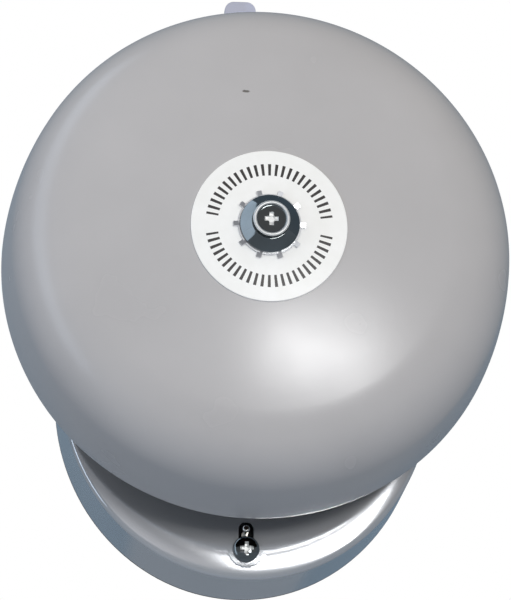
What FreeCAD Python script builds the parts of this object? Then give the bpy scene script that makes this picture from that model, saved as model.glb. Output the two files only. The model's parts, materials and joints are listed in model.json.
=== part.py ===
import FreeCAD, Part
import math
import operator
import os
import Sketcher
from FreeCAD import Placement, Rotation, Vector

# Wall-mounted electric bell with an underdome striker. Every piece is drawn as it is
# seen from the front, with x to the right, y up and z out from the wall, in
# millimetres. STAND then turns it so that +Z is up and -Y points at the viewer.
# The origin lies on the wall face, on the gong's own axis.

SIZES = {
    # gaps that the fits share
    "run_gap": 0.06,
    "lay_gap": 0.05,
    "fit_gap": 0.3,
    "cut_over": 1.0,
    "close_by": 0.01,
    # gong
    "gong_rim_r": 76.0,
    "gong_depth": 50.0,
    "gong_crown_r": 250.0,
    "gong_shoulder_r": 21.5,
    "gong_skirt_r": 188.0,
    "gong_wall": 1.8,
    "gong_hole_r": 3.2,
    "gong_rim_out": 48.0,
    # disc under the fixing
    "label_r": 23.0,
    "label_thick": 0.4,
    "label_hole_r": 3.4,
    # toothed lock washer
    "lock_ring_r": 9.3,
    "lock_tooth_reach": 1.3,
    "lock_tooth_wide": 1.5,
    "lock_thick": 0.5,
    "lock_hole_r": 3.3,
    # coned washer
    "cone_r": 8.8,
    "cone_top_r": 6.1,
    "cone_rise": 3.4,
    "cone_edge": 0.8,
    "cone_wall": 1.1,
    "cone_hole_r": 2.9,
    # gong screw
    "gong_screw_head_r": 5.4,
    "gong_screw_head_rise": 2.8,
    "gong_screw_rim": 1.05,
    "gong_screw_dish": 0.7,
    "gong_screw_shank_r": 2.5,
    "gong_screw_shank_long": 22.0,
    "gong_recess_long": 6.4,
    "gong_recess_wide": 1.5,
    "gong_recess_deep": 1.6,
    # pillar and its seat
    "pillar_r": 6.0,
    "pillar_foot_r": 13.0,
    "pillar_foot_thick": 3.0,
    "pillar_bevel": 0.8,
    "pillar_tap_deep": 24.0,
    "seat_r": 12.0,
    "seat_thick": 1.2,
    "pillar_screw_pitch_r": 9.6,
    "pillar_screw_head_r": 2.6,
    "pillar_screw_head_rise": 1.9,
    "pillar_screw_shank_r": 1.5,
    "small_recess_long": 3.0,
    "small_recess_wide": 0.8,
    "small_recess_deep": 1.0,
    # back plate, its hanging lug and its tongue for the cover
    "plate_thick": 2.0,
    "lug_wide": 9.8,
    "lug_top": 103.7,
    "lug_corner_r": 3.0,
    "lug_hole_r": 2.3,
    "lug_hole_drop": 7.5,
    "foot_hole_x": 38.0,
    "foot_hole_drop": 22.0,
    "foot_hole_r": 2.3,
    "tongue_wide": 8.0,
    "tongue_out": 6.0,
    "tongue_thick": 1.2,
    "tongue_reach": 3.4,
    # cover
    "case_half_wide": 56.7,
    "case_half_tall": 61.8,
    "case_mid_up": -28.0,
    "case_depth": 29.0,
    "case_shoulder_r": 6.5,
    "case_wall": 1.2,
    "gasket_thick": 1.0,
    "gasket_wide": 3.4,
    "striker_slot_margin": 1.3,
    # cover fastening
    "cover_screw_inset": 9.0,
    "cover_screw_head_r": 4.0,
    "cover_screw_head_rise": 2.4,
    "cover_screw_shank_r": 2.0,
    "cover_screw_shank_long": 10.0,
    "cover_recess_long": 4.8,
    "cover_recess_wide": 1.1,
    "cover_recess_deep": 1.5,
    "cover_post_r": 2.9,
    "cover_post_spigot_r": 1.7,
    "cover_slot_wide": 4.6,
    "cover_slot_rise": 6.3,
    "cover_key_r": 1.15,
    "cover_key_rise": 6.4,
    "cover_key_root": 3.9,
    "cover_key_proud": 0.7,
    "cover_key_web": 1.0,
    # grommets
    "grommet_neck_r": 8.8,
    "grommet_flange_r": 11.0,
    "grommet_flange_thick": 1.5,
    "cable_hole_r": 6.5,
    "cable_way_r": 4.5,
    "cable_flange_r": 8.5,
    "cable_flange_thick": 2.0,
    "cable_x": -22.0,
    "cable_inset": 14.6,
    # chassis
    "sheet_thick": 1.5,
    "chassis_half_wide": 32.0,
    "chassis_foot_half_wide": 23.0,
    "chassis_inset": 12.6,
    "chassis_corner_rise": 11.2,
    "chassis_top_up": -15.0,
    "chassis_ear_x": 14.0,
    "chassis_ear_up": -4.0,
    "chassis_step_gap": 1.4,
    "chassis_step_up": -27.0,
    "chassis_shelf_left": -40.5,
    "chassis_shelf_low_up": -42.0,
    "chassis_flange_deep": 20.5,
    "chassis_screw_x": 28.5,
    "chassis_screw_rise": 17.2,
    "chassis_screw_high_up": -40.0,
    "chassis_shelf_screw_x": -36.6,
    "chassis_shelf_screw_up": -38.0,
    "chassis_screw_head_r": 2.6,
    "chassis_screw_head_rise": 1.9,
    "chassis_screw_shank_r": 1.5,
    # magnet
    "coil_x": 14.0,
    "coil_out": 14.8,
    "yoke_half_long": 21.0,
    "yoke_thick": 5.0,
    "yoke_wide": 12.0,
    "yoke_corner_r": 2.0,
    "core_r": 4.0,
    "core_tip": 0.8,
    "bobbin_tube_wall": 1.0,
    "bobbin_flange_r": 11.0,
    "bobbin_flange_thick": 1.6,
    "winding_r": 9.9,
    "yoke_screw_head_r": 3.4,
    "yoke_screw_head_rise": 2.2,
    "yoke_screw_shank_r": 2.0,
    "yoke_screw_bite": 8.0,
    # armature and striker
    "pole_gap": 1.8,
    "armature_low_up": -36.1,
    "armature_left": -21.0,
    "armature_right": 23.0,
    "armature_thick": 4.0,
    "armature_wide": 12.0,
    "armature_bevel": 0.5,
    "hinge_spring_thick": 0.4,
    "hinge_spring_wide": 9.0,
    "hinge_spring_left": -39.0,
    "hinge_spring_right": 8.0,
    "shelf_right": -28.0,
    "clamp_thick": 1.2,
    "spring_screw_x": -33.8,
    "spring_screw_pitch": 4.6,
    "spring_screw_head_r": 1.9,
    "spring_screw_head_rise": 1.4,
    "spring_screw_shank_r": 1.0,
    "spring_screw_bite": 1.9,
    "rivet_left_x": -5.0,
    "rivet_right_x": 4.0,
    "rivet_r": 1.2,
    "rivet_head_r": 2.0,
    "rivet_head_rise": 0.7,
    "blade_thick": 0.3,
    "blade_wide": 6.0,
    "blade_left": -7.5,
    "blade_flat_right": 8.5,
    "blade_right": 22.0,
    "blade_rise": 3.0,
    "tip_r": 1.4,
    "tip_thick": 0.8,
    "striker_rod_r": 1.25,
    "striker_rod_bend_r": 4.0,
    "striker_rod_bite": 7.0,
    "striker_rod_x": 36.0,
    "striker_rod_out": 40.0,
    "striker_gap": 2.67,
    "striker_head_r": 6.0,
    "striker_head_long": 10.0,
    "striker_head_out": 53.0,
    "striker_neck_long": 6.0,
    "striker_head_round": 1.6,
    "striker_head_bore": 6.0,
    # fixed contact
    "insulator_thick": 1.5,
    "insulator_margin": 0.6,
    "bracket_left": 15.0,
    "bracket_wide": 12.0,
    "bracket_shelf_up": -22.0,
    "bracket_thick": 1.6,
    "bracket_top_up": -4.8,
    "bracket_deep": 15.0,
    "bracket_screw_low_up": -15.6,
    "bracket_screw_high_up": -9.2,
    "bracket_screw_head_r": 2.2,
    "bracket_screw_head_rise": 1.5,
    "bracket_screw_shank_r": 1.2,
    "bracket_bush_wall": 0.6,
    "contact_screw_x": 19.0,
    "contact_screw_r": 1.75,
    "contact_gap": 0.12,
    "contact_point_r": 1.1,
    "contact_point_long": 1.2,
    "contact_head_r": 3.4,
    "contact_head_rise": 3.0,
    "contact_stand": 4.6,
    "contact_slot_wide": 0.9,
    "contact_slot_deep": 1.3,
    "locknut_across": 6.0,
    "locknut_thick": 2.0,
    # terminals
    "block_wide": 14.0,
    "block_low_up": -26.0,
    "block_deep": 13.0,
    "block_round": 1.0,
    "bay_wide": 10.5,
    "bay_deep": 8.0,
    "bay_mouth": 4.0,
    "brass_thick": 1.2,
    "brass_margin": 0.7,
    "terminal_head_r": 3.0,
    "terminal_head_rise": 2.0,
    "terminal_shank_r": 1.6,
    "terminal_bite": 4.0,
    "terminal_lift": 1.5,
    "block_screw_head_r": 1.9,
    "block_screw_shank_r": 1.2,
    # leads and suppressor
    "lead_r": 0.7,
    "lead_bend_r": 2.4,
    "lead_stand": 2.1,
    "lead_hop": 3.1,
    "lead_way": 5.5,
    "tail_r": 0.4,
    "tail_bend_r": 1.5,
    "tail_hop": 2.4,
    "suppressor_r": 3.1,
    "suppressor_long": 15.0,
    "suppressor_round": 1.0,
    "suppressor_x": 38.0,
    "suppressor_low_up": -24.0,
    "suppressor_out": 8.0,
}

LOCK_TEETH = 10
PILLAR_SCREW_TURNS = (90, 210, 330)

# Shares of a pan head: the height of its edge, the radius and height of its brow and
# the radius of its flat top, each of the size before it
EDGE_RISE_SHARE = 0.45
BROW_SHARE = 0.82
BROW_RISE_SHARE = 0.86
FLAT_TOP_SHARE = 0.6
# Shares of other small forms, each of the size that it is multiplied with
SLIT_WIDE_SHARE = 0.35
RIM_SLOPE_SHARE = 1.5
TOOTH_ROOT_SHARE = 0.5
RIVET_FLAT_SHARE = 0.7
FLANGE_EDGE_SHARE = 0.6
KEY_ROUND_SHARE = 0.6
KEY_WEB_START_SHARE = 0.8
# Where the striker stands on its circle, to the right and down
STRIKER_RIGHT_SHARE = 0.6775
STRIKER_DOWN_SHARE = 0.7355
# The terminal block in the cover's inside: its left side in the half width, its top in
# the half height, then its bays' height and middles in its own height
BLOCK_LEFT_SHARE = 0.7928
BLOCK_TOP_SHARE = 0.561
BAY_TALL_SHARE = 0.36
UPPER_BAY_SHARE = 0.744
LOWER_BAY_SHARE = 0.256

doc = FreeCAD.newDocument("Bell")
sheet = doc.addObject("Spreadsheet::Sheet", "Sizes")
for row, (alias, number) in enumerate(SIZES.items(), 1):
    sheet.set(f"A{row}", alias)
    sheet.set(f"B{row}", str(number))
    sheet.setAlias(f"B{row}", alias)
doc.recompute()

OPERATIONS = {"+": operator.add, "-": operator.sub, "*": operator.mul, "/": operator.truediv}


class Size:
    """A length that knows its value and the formula that a property is bound to."""

    def __init__(self, value, text):
        self.value = value
        self.text = text

    def __add__(self, other):
        return combine(self, "+", other)

    def __radd__(self, other):
        return combine(other, "+", self)

    def __sub__(self, other):
        return combine(self, "-", other)

    def __rsub__(self, other):
        return combine(other, "-", self)

    def __mul__(self, other):
        return combine(self, "*", other)

    def __rmul__(self, other):
        return combine(other, "*", self)

    def __truediv__(self, other):
        return combine(self, "/", other)

    def __neg__(self):
        return combine(0, "-", self)


def as_size(number):
    if isinstance(number, Size):
        return number
    return Size(float(number), repr(float(number)))


def combine(left, sign, right):
    left = as_size(left)
    right = as_size(right)
    value = OPERATIONS[sign](left.value, right.value)
    return Size(value, f"({left.text} {sign} {right.text})")


def root(size):
    return Size(math.sqrt(size.value), f"sqrt({size.text})")


class Sheet:
    """The sheet's cells, read by their aliases."""

    def __getattr__(self, alias):
        return Size(float(sheet.get(alias)), f"Sizes.{alias}")


s = Sheet()
STAND = Placement(Vector(), Rotation(Vector(1, 0, 0), 90))
AXES = {
    "x": Rotation(Vector(0, 1, 0), 90),
    "y": Rotation(Vector(1, 0, 0), -90),
    "down": Rotation(Vector(1, 0, 0), 90),
    "z": Rotation(),
}
NODES = []


def bind(item, name, size):
    item.setExpression(name, as_size(size).text)


def seat(item, at, axis="z"):
    """Turn an item to an axis and bind its place."""
    item.Placement = Placement(Vector(), AXES[axis])
    for name, size in zip("xyz", at):
        bind(item, "Placement.Base." + name, size)
    return item


def rod(radius, length, at, axis="z"):
    item = doc.addObject("Part::Cylinder", "Rod")
    bind(item, "Radius", radius)
    bind(item, "Height", length)
    return seat(item, at, axis)


def block(wide, tall, deep, at):
    """A block with its low corner at the place given."""
    item = doc.addObject("Part::Box", "Block")
    bind(item, "Length", wide)
    bind(item, "Width", tall)
    bind(item, "Height", deep)
    return seat(item, at)


def middle_block(wide, tall, deep, at):
    """A block with its middle at x and y, and its low face at z."""
    x, y, z = at
    return block(wide, tall, deep, (x - wide / 2, y - tall / 2, z))


def oval(half_wide, half_tall, length, low):
    """An upright elliptical block about the case's own middle."""
    curve = doc.addObject("Part::Ellipse", "OvalCurve")
    tall = half_tall.value >= half_wide.value
    bind(curve, "MajorRadius", half_tall if tall else half_wide)
    bind(curve, "MinorRadius", half_wide if tall else half_tall)
    curve.Placement = Placement(Vector(), Rotation(Vector(0, 0, 1), 90 if tall else 0))
    bind(curve, "Placement.Base.y", s.case_mid_up)
    bind(curve, "Placement.Base.z", low)
    item = doc.addObject("Part::Extrusion", "Oval")
    item.Base = curve
    item.DirMode = "Custom"
    item.Dir = Vector(0, 0, 1)
    item.Solid = True
    bind(item, "LengthFwd", length)
    return item


def join(*parts):
    item = doc.addObject("Part::MultiFuse", "Joined")
    item.Shapes = list(parts)
    return item


def cut(base, *tools):
    item = doc.addObject("Part::Cut", "Cut")
    item.Base = base
    item.Tool = tools[0] if len(tools) == 1 else join(*tools)
    return item


def rounded(base, radius, wanted):
    """Round the edges of an item that the test picks."""
    doc.recompute()
    item = doc.addObject("Part::Fillet", "Rounded")
    item.Base = base
    edges = enumerate(base.Shape.Edges, 1)
    item.Edges = [(index, radius.value, radius.value) for index, edge in edges if wanted(edge)]
    return item


def near(number, size):
    return abs(number - as_size(size).value) < s.close_by.value


def along(edge, axis):
    """Whether a straight edge runs along an axis."""
    if not isinstance(edge.Curve, Part.Line):
        return False
    return abs(abs(edge.Curve.Direction.dot(axis)) - 1) < s.close_by.value


def lies_at_out(size):
    """A test for edges that lie in a plane at a distance from the wall."""
    return lambda edge: near(edge.BoundBox.ZMin, size) and near(edge.BoundBox.ZMax, size)


def arc_between(first, last, radius, side):
    """A sketch arc between two points, its centre on the given side of the way there."""
    middle = (first + last) * 0.5
    way = last - first
    half = way.Length / 2
    across = Vector(-way.y, way.x, 0).normalize()
    centre = middle + across * (side * math.sqrt(max(radius ** 2 - half ** 2, 0)))
    ends = [first, last] if side > 0 else [last, first]
    angles = [math.atan2(point.y - centre.y, point.x - centre.x) for point in ends]
    circle = Part.Circle(centre, Vector(0, 0, 1), radius)
    return Part.ArcOfCircle(circle, angles[0], angles[1])


def draw(body, role, corners, arcs=None):
    """A closed outline through bound corners; arcs gives (radius, side) by corner number."""
    arcs = arcs or {}
    sketch = body.newObject("Sketcher::SketchObject", "Outline")
    plane = next(item for item in body.Origin.OriginFeatures if item.Role == role)
    sketch.AttachmentSupport = (plane, [""])
    sketch.MapMode = "FlatFace"
    points = [Vector(as_size(x).value, as_size(y).value, 0) for x, y in corners]
    count = len(points)
    ends = []
    for index in range(count):
        first, last = points[index], points[(index + 1) % count]
        if index in arcs:
            radius, side = arcs[index]
            sketch.addGeometry(arc_between(first, last, radius.value, side), False)
            ends.append((1, 2) if side > 0 else (2, 1))
        else:
            sketch.addGeometry(Part.LineSegment(first, last), False)
            ends.append((1, 2))
    for index in range(count):
        after = (index + 1) % count
        joint = Sketcher.Constraint("Coincident", index, ends[index][1], after, ends[after][0])
        sketch.addConstraint(joint)
    for index, (x, y) in enumerate(corners):
        pin(sketch, "DistanceX", -2, index, ends[index][0], x)
        pin(sketch, "DistanceY", -1, index, ends[index][0], y)
    for index, (radius, side) in arcs.items():
        fix(sketch, Sketcher.Constraint("Radius", index, radius.value), radius)
    return sketch


def pin(sketch, kind, axis, geometry, end, size):
    """Hold a point's distance from an axis, or the point on it."""
    size = as_size(size)
    if size.value == 0:
        sketch.addConstraint(Sketcher.Constraint("PointOnObject", geometry, end, axis))
    else:
        fix(sketch, Sketcher.Constraint(kind, -1, 1, geometry, end, size.value), size)


def fix(sketch, constraint, size):
    """Add a constraint and bind it to its size."""
    number = sketch.addConstraint(constraint)
    name = f"size_{number}"
    sketch.renameConstraint(number, name)
    sketch.setExpression(".Constraints." + name, size.text)


def new_body(name):
    return doc.addObject("PartDesign::Body", name)


def revolve(body, sketch):
    """Turn an outline about its own upright axis."""
    turned = body.newObject("PartDesign::Revolution", "Turned")
    turned.Profile = sketch
    turned.ReferenceAxis = (sketch, ["V_Axis"])
    turned.Angle = 360
    return body


def turned(name, corners, arcs=None):
    """A turned piece from corners of radius and distance along its axis."""
    body = new_body(name)
    return revolve(body, draw(body, "XZ_Plane", corners, arcs))


def padded(name, corners, length):
    """A flat outline given a thickness."""
    body = new_body(name)
    sketch = draw(body, "XY_Plane", corners)
    pad = body.newObject("PartDesign::Pad", "Pad")
    pad.Profile = sketch
    bind(pad, "Length", length)
    return body


def pan_screw(head_r, head_rise, shank_r, shank_long, recess, at, axis="z"):
    """A pan-head screw with a cross recess; its place is the middle under the head."""
    long, wide, deep = recess
    brow = head_r * BROW_SHARE
    shape = turned("Screw", [
        (0, -shank_long),
        (shank_r, -shank_long),
        (shank_r, 0),
        (head_r, 0),
        (head_r, head_rise * EDGE_RISE_SHARE),
        (brow, head_rise * BROW_RISE_SHARE),
        (brow * FLAT_TOP_SHARE, head_rise),
        (0, head_rise),
    ])
    low = head_rise - deep
    reach = deep + s.cut_over
    bars = join(
        middle_block(long, wide, reach, (as_size(0), as_size(0), low)),
        middle_block(wide, long, reach, (as_size(0), as_size(0), low)),
    )
    return seat(cut(shape, bars), at, axis)


def small_recess(head_r, head_rise):
    """The cross recess of a small screw: length, width and depth."""
    return (head_r, head_r * SLIT_WIDE_SHARE, head_rise / 2)


def bent_rod(points, radius, bend_r):
    """A round rod along straight runs joined by tangent arcs."""
    places = [Vector(*[as_size(size).value for size in point]) for point in points]
    edges = []
    start = places[0]
    for before, corner, after in zip(places, places[1:], places[2:]):
        back = (before - corner).normalize()
        ahead = (after - corner).normalize()
        turn = math.pi - back.getAngle(ahead)
        trim = bend_r.value * math.tan(turn / 2)
        bisector = (back + ahead).normalize()
        centre = corner + bisector * (bend_r.value / math.cos(turn / 2))
        enter = corner + back * trim
        leave = corner + ahead * trim
        edges.append(Part.LineSegment(start, enter).toShape())
        edges.append(Part.Arc(enter, centre - bisector * bend_r.value, leave).toShape())
        start = leave
    edges.append(Part.LineSegment(start, places[-1]).toShape())
    path = Part.Wire(edges)
    ring = Part.makeCircle(radius.value, places[0], places[1] - places[0])
    item = doc.addObject("Part::Feature", "Bent")
    item.Shape = path.makePipeShell([Part.Wire([ring])], True, False)
    return item


def node(label, *items):
    """Name a sub-part and stand it up."""
    item = items[0]
    bound = any("Placement" in name for name, text in item.ExpressionEngine)
    if len(items) > 1 or bound:
        item = doc.addObject("Part::Compound", "Group")
        item.Links = list(items)
    item.Label = label
    item.Placement = STAND
    NODES.append(item)


# Levels that several pieces share, out from the wall
plate_front = s.plate_thick
chassis_front = plate_front + s.sheet_thick
case_inside = s.case_depth - s.case_wall
gong_top = s.gong_rim_out + s.gong_depth
crown_mid = gong_top - s.gong_crown_r
inner_crown_r = s.gong_crown_r - s.gong_wall
inner_wide = s.case_half_wide - s.case_wall
inner_tall = s.case_half_tall - s.case_wall
label_low_r = s.gong_crown_r + s.lay_gap
label_top_r = label_low_r + s.label_thick
SMALL_RECESS = (s.small_recess_long, s.small_recess_wide, s.small_recess_deep)
ZERO = as_size(0)


def crown_out(sphere_r, radius):
    """How far out a sphere about the crown's middle stands at a radius."""
    return crown_mid + root(sphere_r * sphere_r - radius * radius)


# Heights that the mechanism shares
case_low_up = s.case_mid_up - s.case_half_tall
cover_screw_up = case_low_up + s.cover_screw_inset
chassis_low_up = case_low_up + s.chassis_inset
chassis_corner_up = chassis_low_up + s.chassis_corner_rise
chassis_screw_low_up = chassis_low_up + s.chassis_screw_rise
yoke_low_up = chassis_low_up + s.sheet_thick
bobbin_low_up = yoke_low_up + s.yoke_thick
armature_low_up = s.armature_low_up
pole_up = armature_low_up - s.pole_gap
bobbin_top_up = pole_up - s.core_tip
bobbin_long = bobbin_top_up - bobbin_low_up
spring_low_up = armature_low_up + s.armature_thick
spring_top_up = spring_low_up + s.hinge_spring_thick
blade_top_up = spring_top_up + s.blade_thick
armature_mid_up = armature_low_up + s.armature_thick / 2
seat_top = crown_out(inner_crown_r, s.seat_r) - s.lay_gap
pillar_top = seat_top - s.seat_thick
lock_low = crown_out(label_top_r, s.label_hole_r) + s.lay_gap
cone_low = lock_low + s.lock_thick + s.lay_gap
head_low = cone_low + s.cone_rise + s.lay_gap

# Places that the mechanism shares
striker_circle_r = s.gong_rim_r - s.gong_wall - s.striker_gap - s.striker_head_r
striker_head_x = striker_circle_r * STRIKER_RIGHT_SHARE
striker_head_up = -striker_circle_r * STRIKER_DOWN_SHARE
hinge_x = (s.shelf_right + s.armature_left) / 2
cable_up = s.case_mid_up + inner_tall - s.cable_inset
block_left = -inner_wide * BLOCK_LEFT_SHARE
block_right = block_left + s.block_wide
block_mid_x = block_left + s.block_wide / 2
block_tall = s.case_mid_up + inner_tall * BLOCK_TOP_SHARE - s.block_low_up
block_mid_up = s.block_low_up + block_tall / 2
bay_tall = block_tall * BAY_TALL_SHARE
upper_bay_up = s.block_low_up + block_tall * UPPER_BAY_SHARE
lower_bay_up = s.block_low_up + block_tall * LOWER_BAY_SHARE
bay_ups = (upper_bay_up, lower_bay_up)


def gong_sketch(body):
    """The gong's wall: skirt, shoulder and crown arcs, outside and inside."""
    sketch = body.newObject("Sketcher::SketchObject", "GongWall")
    plane = next(item for item in body.Origin.OriginFeatures if item.Role == "XZ_Plane")
    sketch.AttachmentSupport = (plane, [""])
    sketch.MapMode = "FlatFace"
    crown = Vector(0, crown_mid.value, 0)
    skirt = Vector((s.gong_rim_r - s.gong_skirt_r).value, s.gong_rim_out.value, 0)
    to_crown = (s.gong_crown_r - s.gong_shoulder_r).value
    to_skirt = (s.gong_skirt_r - s.gong_shoulder_r).value
    line = skirt - crown
    share = (to_crown ** 2 - to_skirt ** 2 + line.Length ** 2) / (2 * line.Length)
    off = math.sqrt(to_crown ** 2 - share ** 2)
    ahead = Vector(line).normalize()
    shoulder = crown + ahead * share + Vector(-ahead.y, ahead.x, 0) * off
    if shoulder.x < 0:
        shoulder = crown + ahead * share - Vector(-ahead.y, ahead.x, 0) * off
    for wall in (0, s.gong_wall.value):
        add_gong_arcs(sketch, (skirt, shoulder, crown), wall)
    sketch.addGeometry(Part.LineSegment(
        Vector(s.gong_rim_r.value, s.gong_rim_out.value, 0),
        Vector((s.gong_rim_r - s.gong_wall).value, s.gong_rim_out.value, 0),
    ), False)
    hole = s.gong_hole_r
    sketch.addGeometry(Part.LineSegment(
        Vector(hole.value, crown_out(s.gong_crown_r, hole).value, 0),
        Vector(hole.value, crown_out(inner_crown_r, hole).value, 0),
    ), False)
    for first in (0, 3):
        sketch.addConstraint(Sketcher.Constraint("Tangent", first, 2, first + 1, 1))
        sketch.addConstraint(Sketcher.Constraint("Tangent", first + 1, 2, first + 2, 1))
    for index in range(3):
        sketch.addConstraint(Sketcher.Constraint("Coincident", index, 3, index + 3, 3))
    sketch.addConstraint(Sketcher.Constraint("Coincident", 6, 1, 0, 1))
    sketch.addConstraint(Sketcher.Constraint("Coincident", 6, 2, 3, 1))
    sketch.addConstraint(Sketcher.Constraint("Coincident", 7, 1, 2, 2))
    sketch.addConstraint(Sketcher.Constraint("Coincident", 7, 2, 5, 2))
    sketch.addConstraint(Sketcher.Constraint("Horizontal", 6))
    sketch.addConstraint(Sketcher.Constraint("Vertical", 7))
    for index, radius in ((0, s.gong_skirt_r), (1, s.gong_shoulder_r), (2, s.gong_crown_r)):
        fix(sketch, Sketcher.Constraint("Radius", index, radius.value), radius)
    pin(sketch, "DistanceY", -1, 0, 3, s.gong_rim_out)
    pin(sketch, "DistanceX", -2, 0, 1, s.gong_rim_r)
    pin(sketch, "DistanceY", -1, 0, 1, s.gong_rim_out)
    pin(sketch, "DistanceX", -2, 2, 3, ZERO)
    pin(sketch, "DistanceY", -1, 2, 3, crown_mid)
    pin(sketch, "DistanceX", -2, 3, 1, s.gong_rim_r - s.gong_wall)
    pin(sketch, "DistanceX", -2, 7, 1, hole)
    return sketch


def add_gong_arcs(sketch, centres, wall):
    """Skirt, shoulder and crown arcs of one side of the wall, rim first."""
    skirt, shoulder, crown = centres
    radii = (s.gong_skirt_r, s.gong_shoulder_r, s.gong_crown_r)
    sizes = [radius.value - wall for radius in radii]
    skirt_end = math.atan2(shoulder.y - skirt.y, shoulder.x - skirt.x)
    shoulder_end = math.atan2(shoulder.y - crown.y, shoulder.x - crown.x)
    crown_end = math.acos(s.gong_hole_r.value / sizes[2])
    spans = ((0, skirt_end), (skirt_end, shoulder_end), (shoulder_end, crown_end))
    for centre, radius, (first, last) in zip(centres, sizes, spans):
        circle = Part.Circle(centre, Vector(0, 0, 1), radius)
        sketch.addGeometry(Part.ArcOfCircle(circle, first, last), False)


# Gong and what clamps it
gong = new_body("Gong")
node("gong", revolve(gong, gong_sketch(gong)))

label_low_rim = crown_out(label_low_r, s.label_r)
label_top_rim = crown_out(label_top_r, s.label_r)
node("gong_label", turned("Label", [
    (s.label_hole_r, crown_out(label_low_r, s.label_hole_r)),
    (s.label_r, label_low_rim),
    (s.label_r, label_top_rim),
    (s.label_hole_r, crown_out(label_top_r, s.label_hole_r)),
], {0: (label_low_r, -1), 2: (label_top_r, 1)}))

teeth = []
tooth_root = s.lock_ring_r * TOOTH_ROOT_SHARE
for tooth in range(LOCK_TEETH):
    piece = block(s.lock_ring_r + s.lock_tooth_reach - tooth_root, s.lock_tooth_wide,
                  s.lock_thick, (tooth_root, -s.lock_tooth_wide / 2, ZERO))
    holder = doc.addObject("Part::Compound", "Tooth")
    holder.Links = [piece]
    turn = 360 * tooth / LOCK_TEETH
    holder.Placement = Placement(Vector(), Rotation(Vector(0, 0, 1), turn))
    teeth.append(holder)
lock_disc = rod(s.lock_ring_r, s.lock_thick, (ZERO, ZERO, ZERO))
lock_hole = rod(s.lock_hole_r, s.lock_thick + s.cut_over * 2, (ZERO, ZERO, -s.cut_over))
node("lock_washer", seat(cut(join(lock_disc, *teeth), lock_hole), (ZERO, ZERO, lock_low)))

node("cone_washer", seat(turned("ConeWasher", [
    (s.cone_hole_r, s.cone_rise - s.cone_wall),
    (s.cone_top_r - s.cone_wall, s.cone_rise - s.cone_wall),
    (s.cone_r - s.cone_wall, 0),
    (s.cone_r, 0),
    (s.cone_r, s.cone_edge),
    (s.cone_top_r, s.cone_rise),
    (s.cone_hole_r, s.cone_rise),
]), (ZERO, ZERO, cone_low)))

gong_head = turned("GongScrew", [
    (0, -s.gong_screw_shank_long),
    (s.gong_screw_shank_r, -s.gong_screw_shank_long),
    (s.gong_screw_shank_r, 0),
    (s.gong_screw_head_r, 0),
    (s.gong_screw_head_r, s.gong_screw_head_rise - s.gong_screw_rim / 2),
    (s.gong_screw_head_r - s.gong_screw_rim / 2, s.gong_screw_head_rise),
    (s.gong_screw_head_r - s.gong_screw_rim, s.gong_screw_head_rise),
    (s.gong_screw_head_r - s.gong_screw_rim * RIM_SLOPE_SHARE,
     s.gong_screw_head_rise - s.gong_screw_dish),
    (0, s.gong_screw_head_rise - s.gong_screw_dish),
])
gong_recess_low = s.gong_screw_head_rise - s.gong_recess_deep
gong_recess = [
    middle_block(wide, tall, s.gong_recess_deep + s.cut_over, (ZERO, ZERO, gong_recess_low))
    for wide, tall in (
        (s.gong_recess_long, s.gong_recess_wide),
        (s.gong_recess_wide, s.gong_recess_long),
    )
]
node("gong_screw", seat(cut(gong_head, *gong_recess), (ZERO, ZERO, head_low)))

node("seat_washer", seat(turned("SeatWasher", [
    (s.gong_hole_r, 0),
    (s.seat_r, 0),
    (s.seat_r, s.seat_thick),
    (s.gong_hole_r, s.seat_thick),
]), (ZERO, ZERO, pillar_top)))

# Pillar on the back plate
pillar = turned("Pillar", [
    (0, 0),
    (s.pillar_foot_r, 0),
    (s.pillar_foot_r, s.pillar_foot_thick - s.pillar_bevel),
    (s.pillar_foot_r - s.pillar_bevel, s.pillar_foot_thick),
    (s.pillar_r, s.pillar_foot_thick),
    (s.pillar_r, pillar_top - plate_front - s.pillar_bevel),
    (s.pillar_r - s.pillar_bevel, pillar_top - plate_front),
    (s.gong_screw_shank_r + s.run_gap, pillar_top - plate_front),
    (s.gong_screw_shank_r + s.run_gap, pillar_top - plate_front - s.pillar_tap_deep),
    (0, pillar_top - plate_front - s.pillar_tap_deep),
])
pillar_places = []
for turn in PILLAR_SCREW_TURNS:
    across = s.pillar_screw_pitch_r * math.cos(math.radians(turn))
    up = s.pillar_screw_pitch_r * math.sin(math.radians(turn))
    pillar_places.append((across, up))
pillar_holes = [
    rod(s.pillar_screw_shank_r + s.run_gap, s.pillar_foot_thick + s.cut_over * 2,
        (x, y, -s.cut_over))
    for x, y in pillar_places
]
node("gong_pillar", seat(cut(pillar, *pillar_holes), (ZERO, ZERO, plate_front)))
foot_front = plate_front + s.pillar_foot_thick
node("pillar_screws", *[
    pan_screw(s.pillar_screw_head_r, s.pillar_screw_head_rise, s.pillar_screw_shank_r,
              s.pillar_foot_thick + s.plate_thick - s.fit_gap, SMALL_RECESS, (x, y, foot_front))
    for x, y in pillar_places
])

# Places of the screws that go into the back plate
chassis_places = [
    (-s.chassis_screw_x, chassis_screw_low_up),
    (s.chassis_screw_x, chassis_screw_low_up),
    (s.chassis_screw_x, s.chassis_screw_high_up),
    (s.chassis_shelf_screw_x, s.chassis_shelf_screw_up),
]


def through_plate(radius, x, y):
    """A hole right through the back plate."""
    return rod(radius, s.plate_thick + s.cut_over * 2, (x, y, -s.cut_over))


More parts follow.
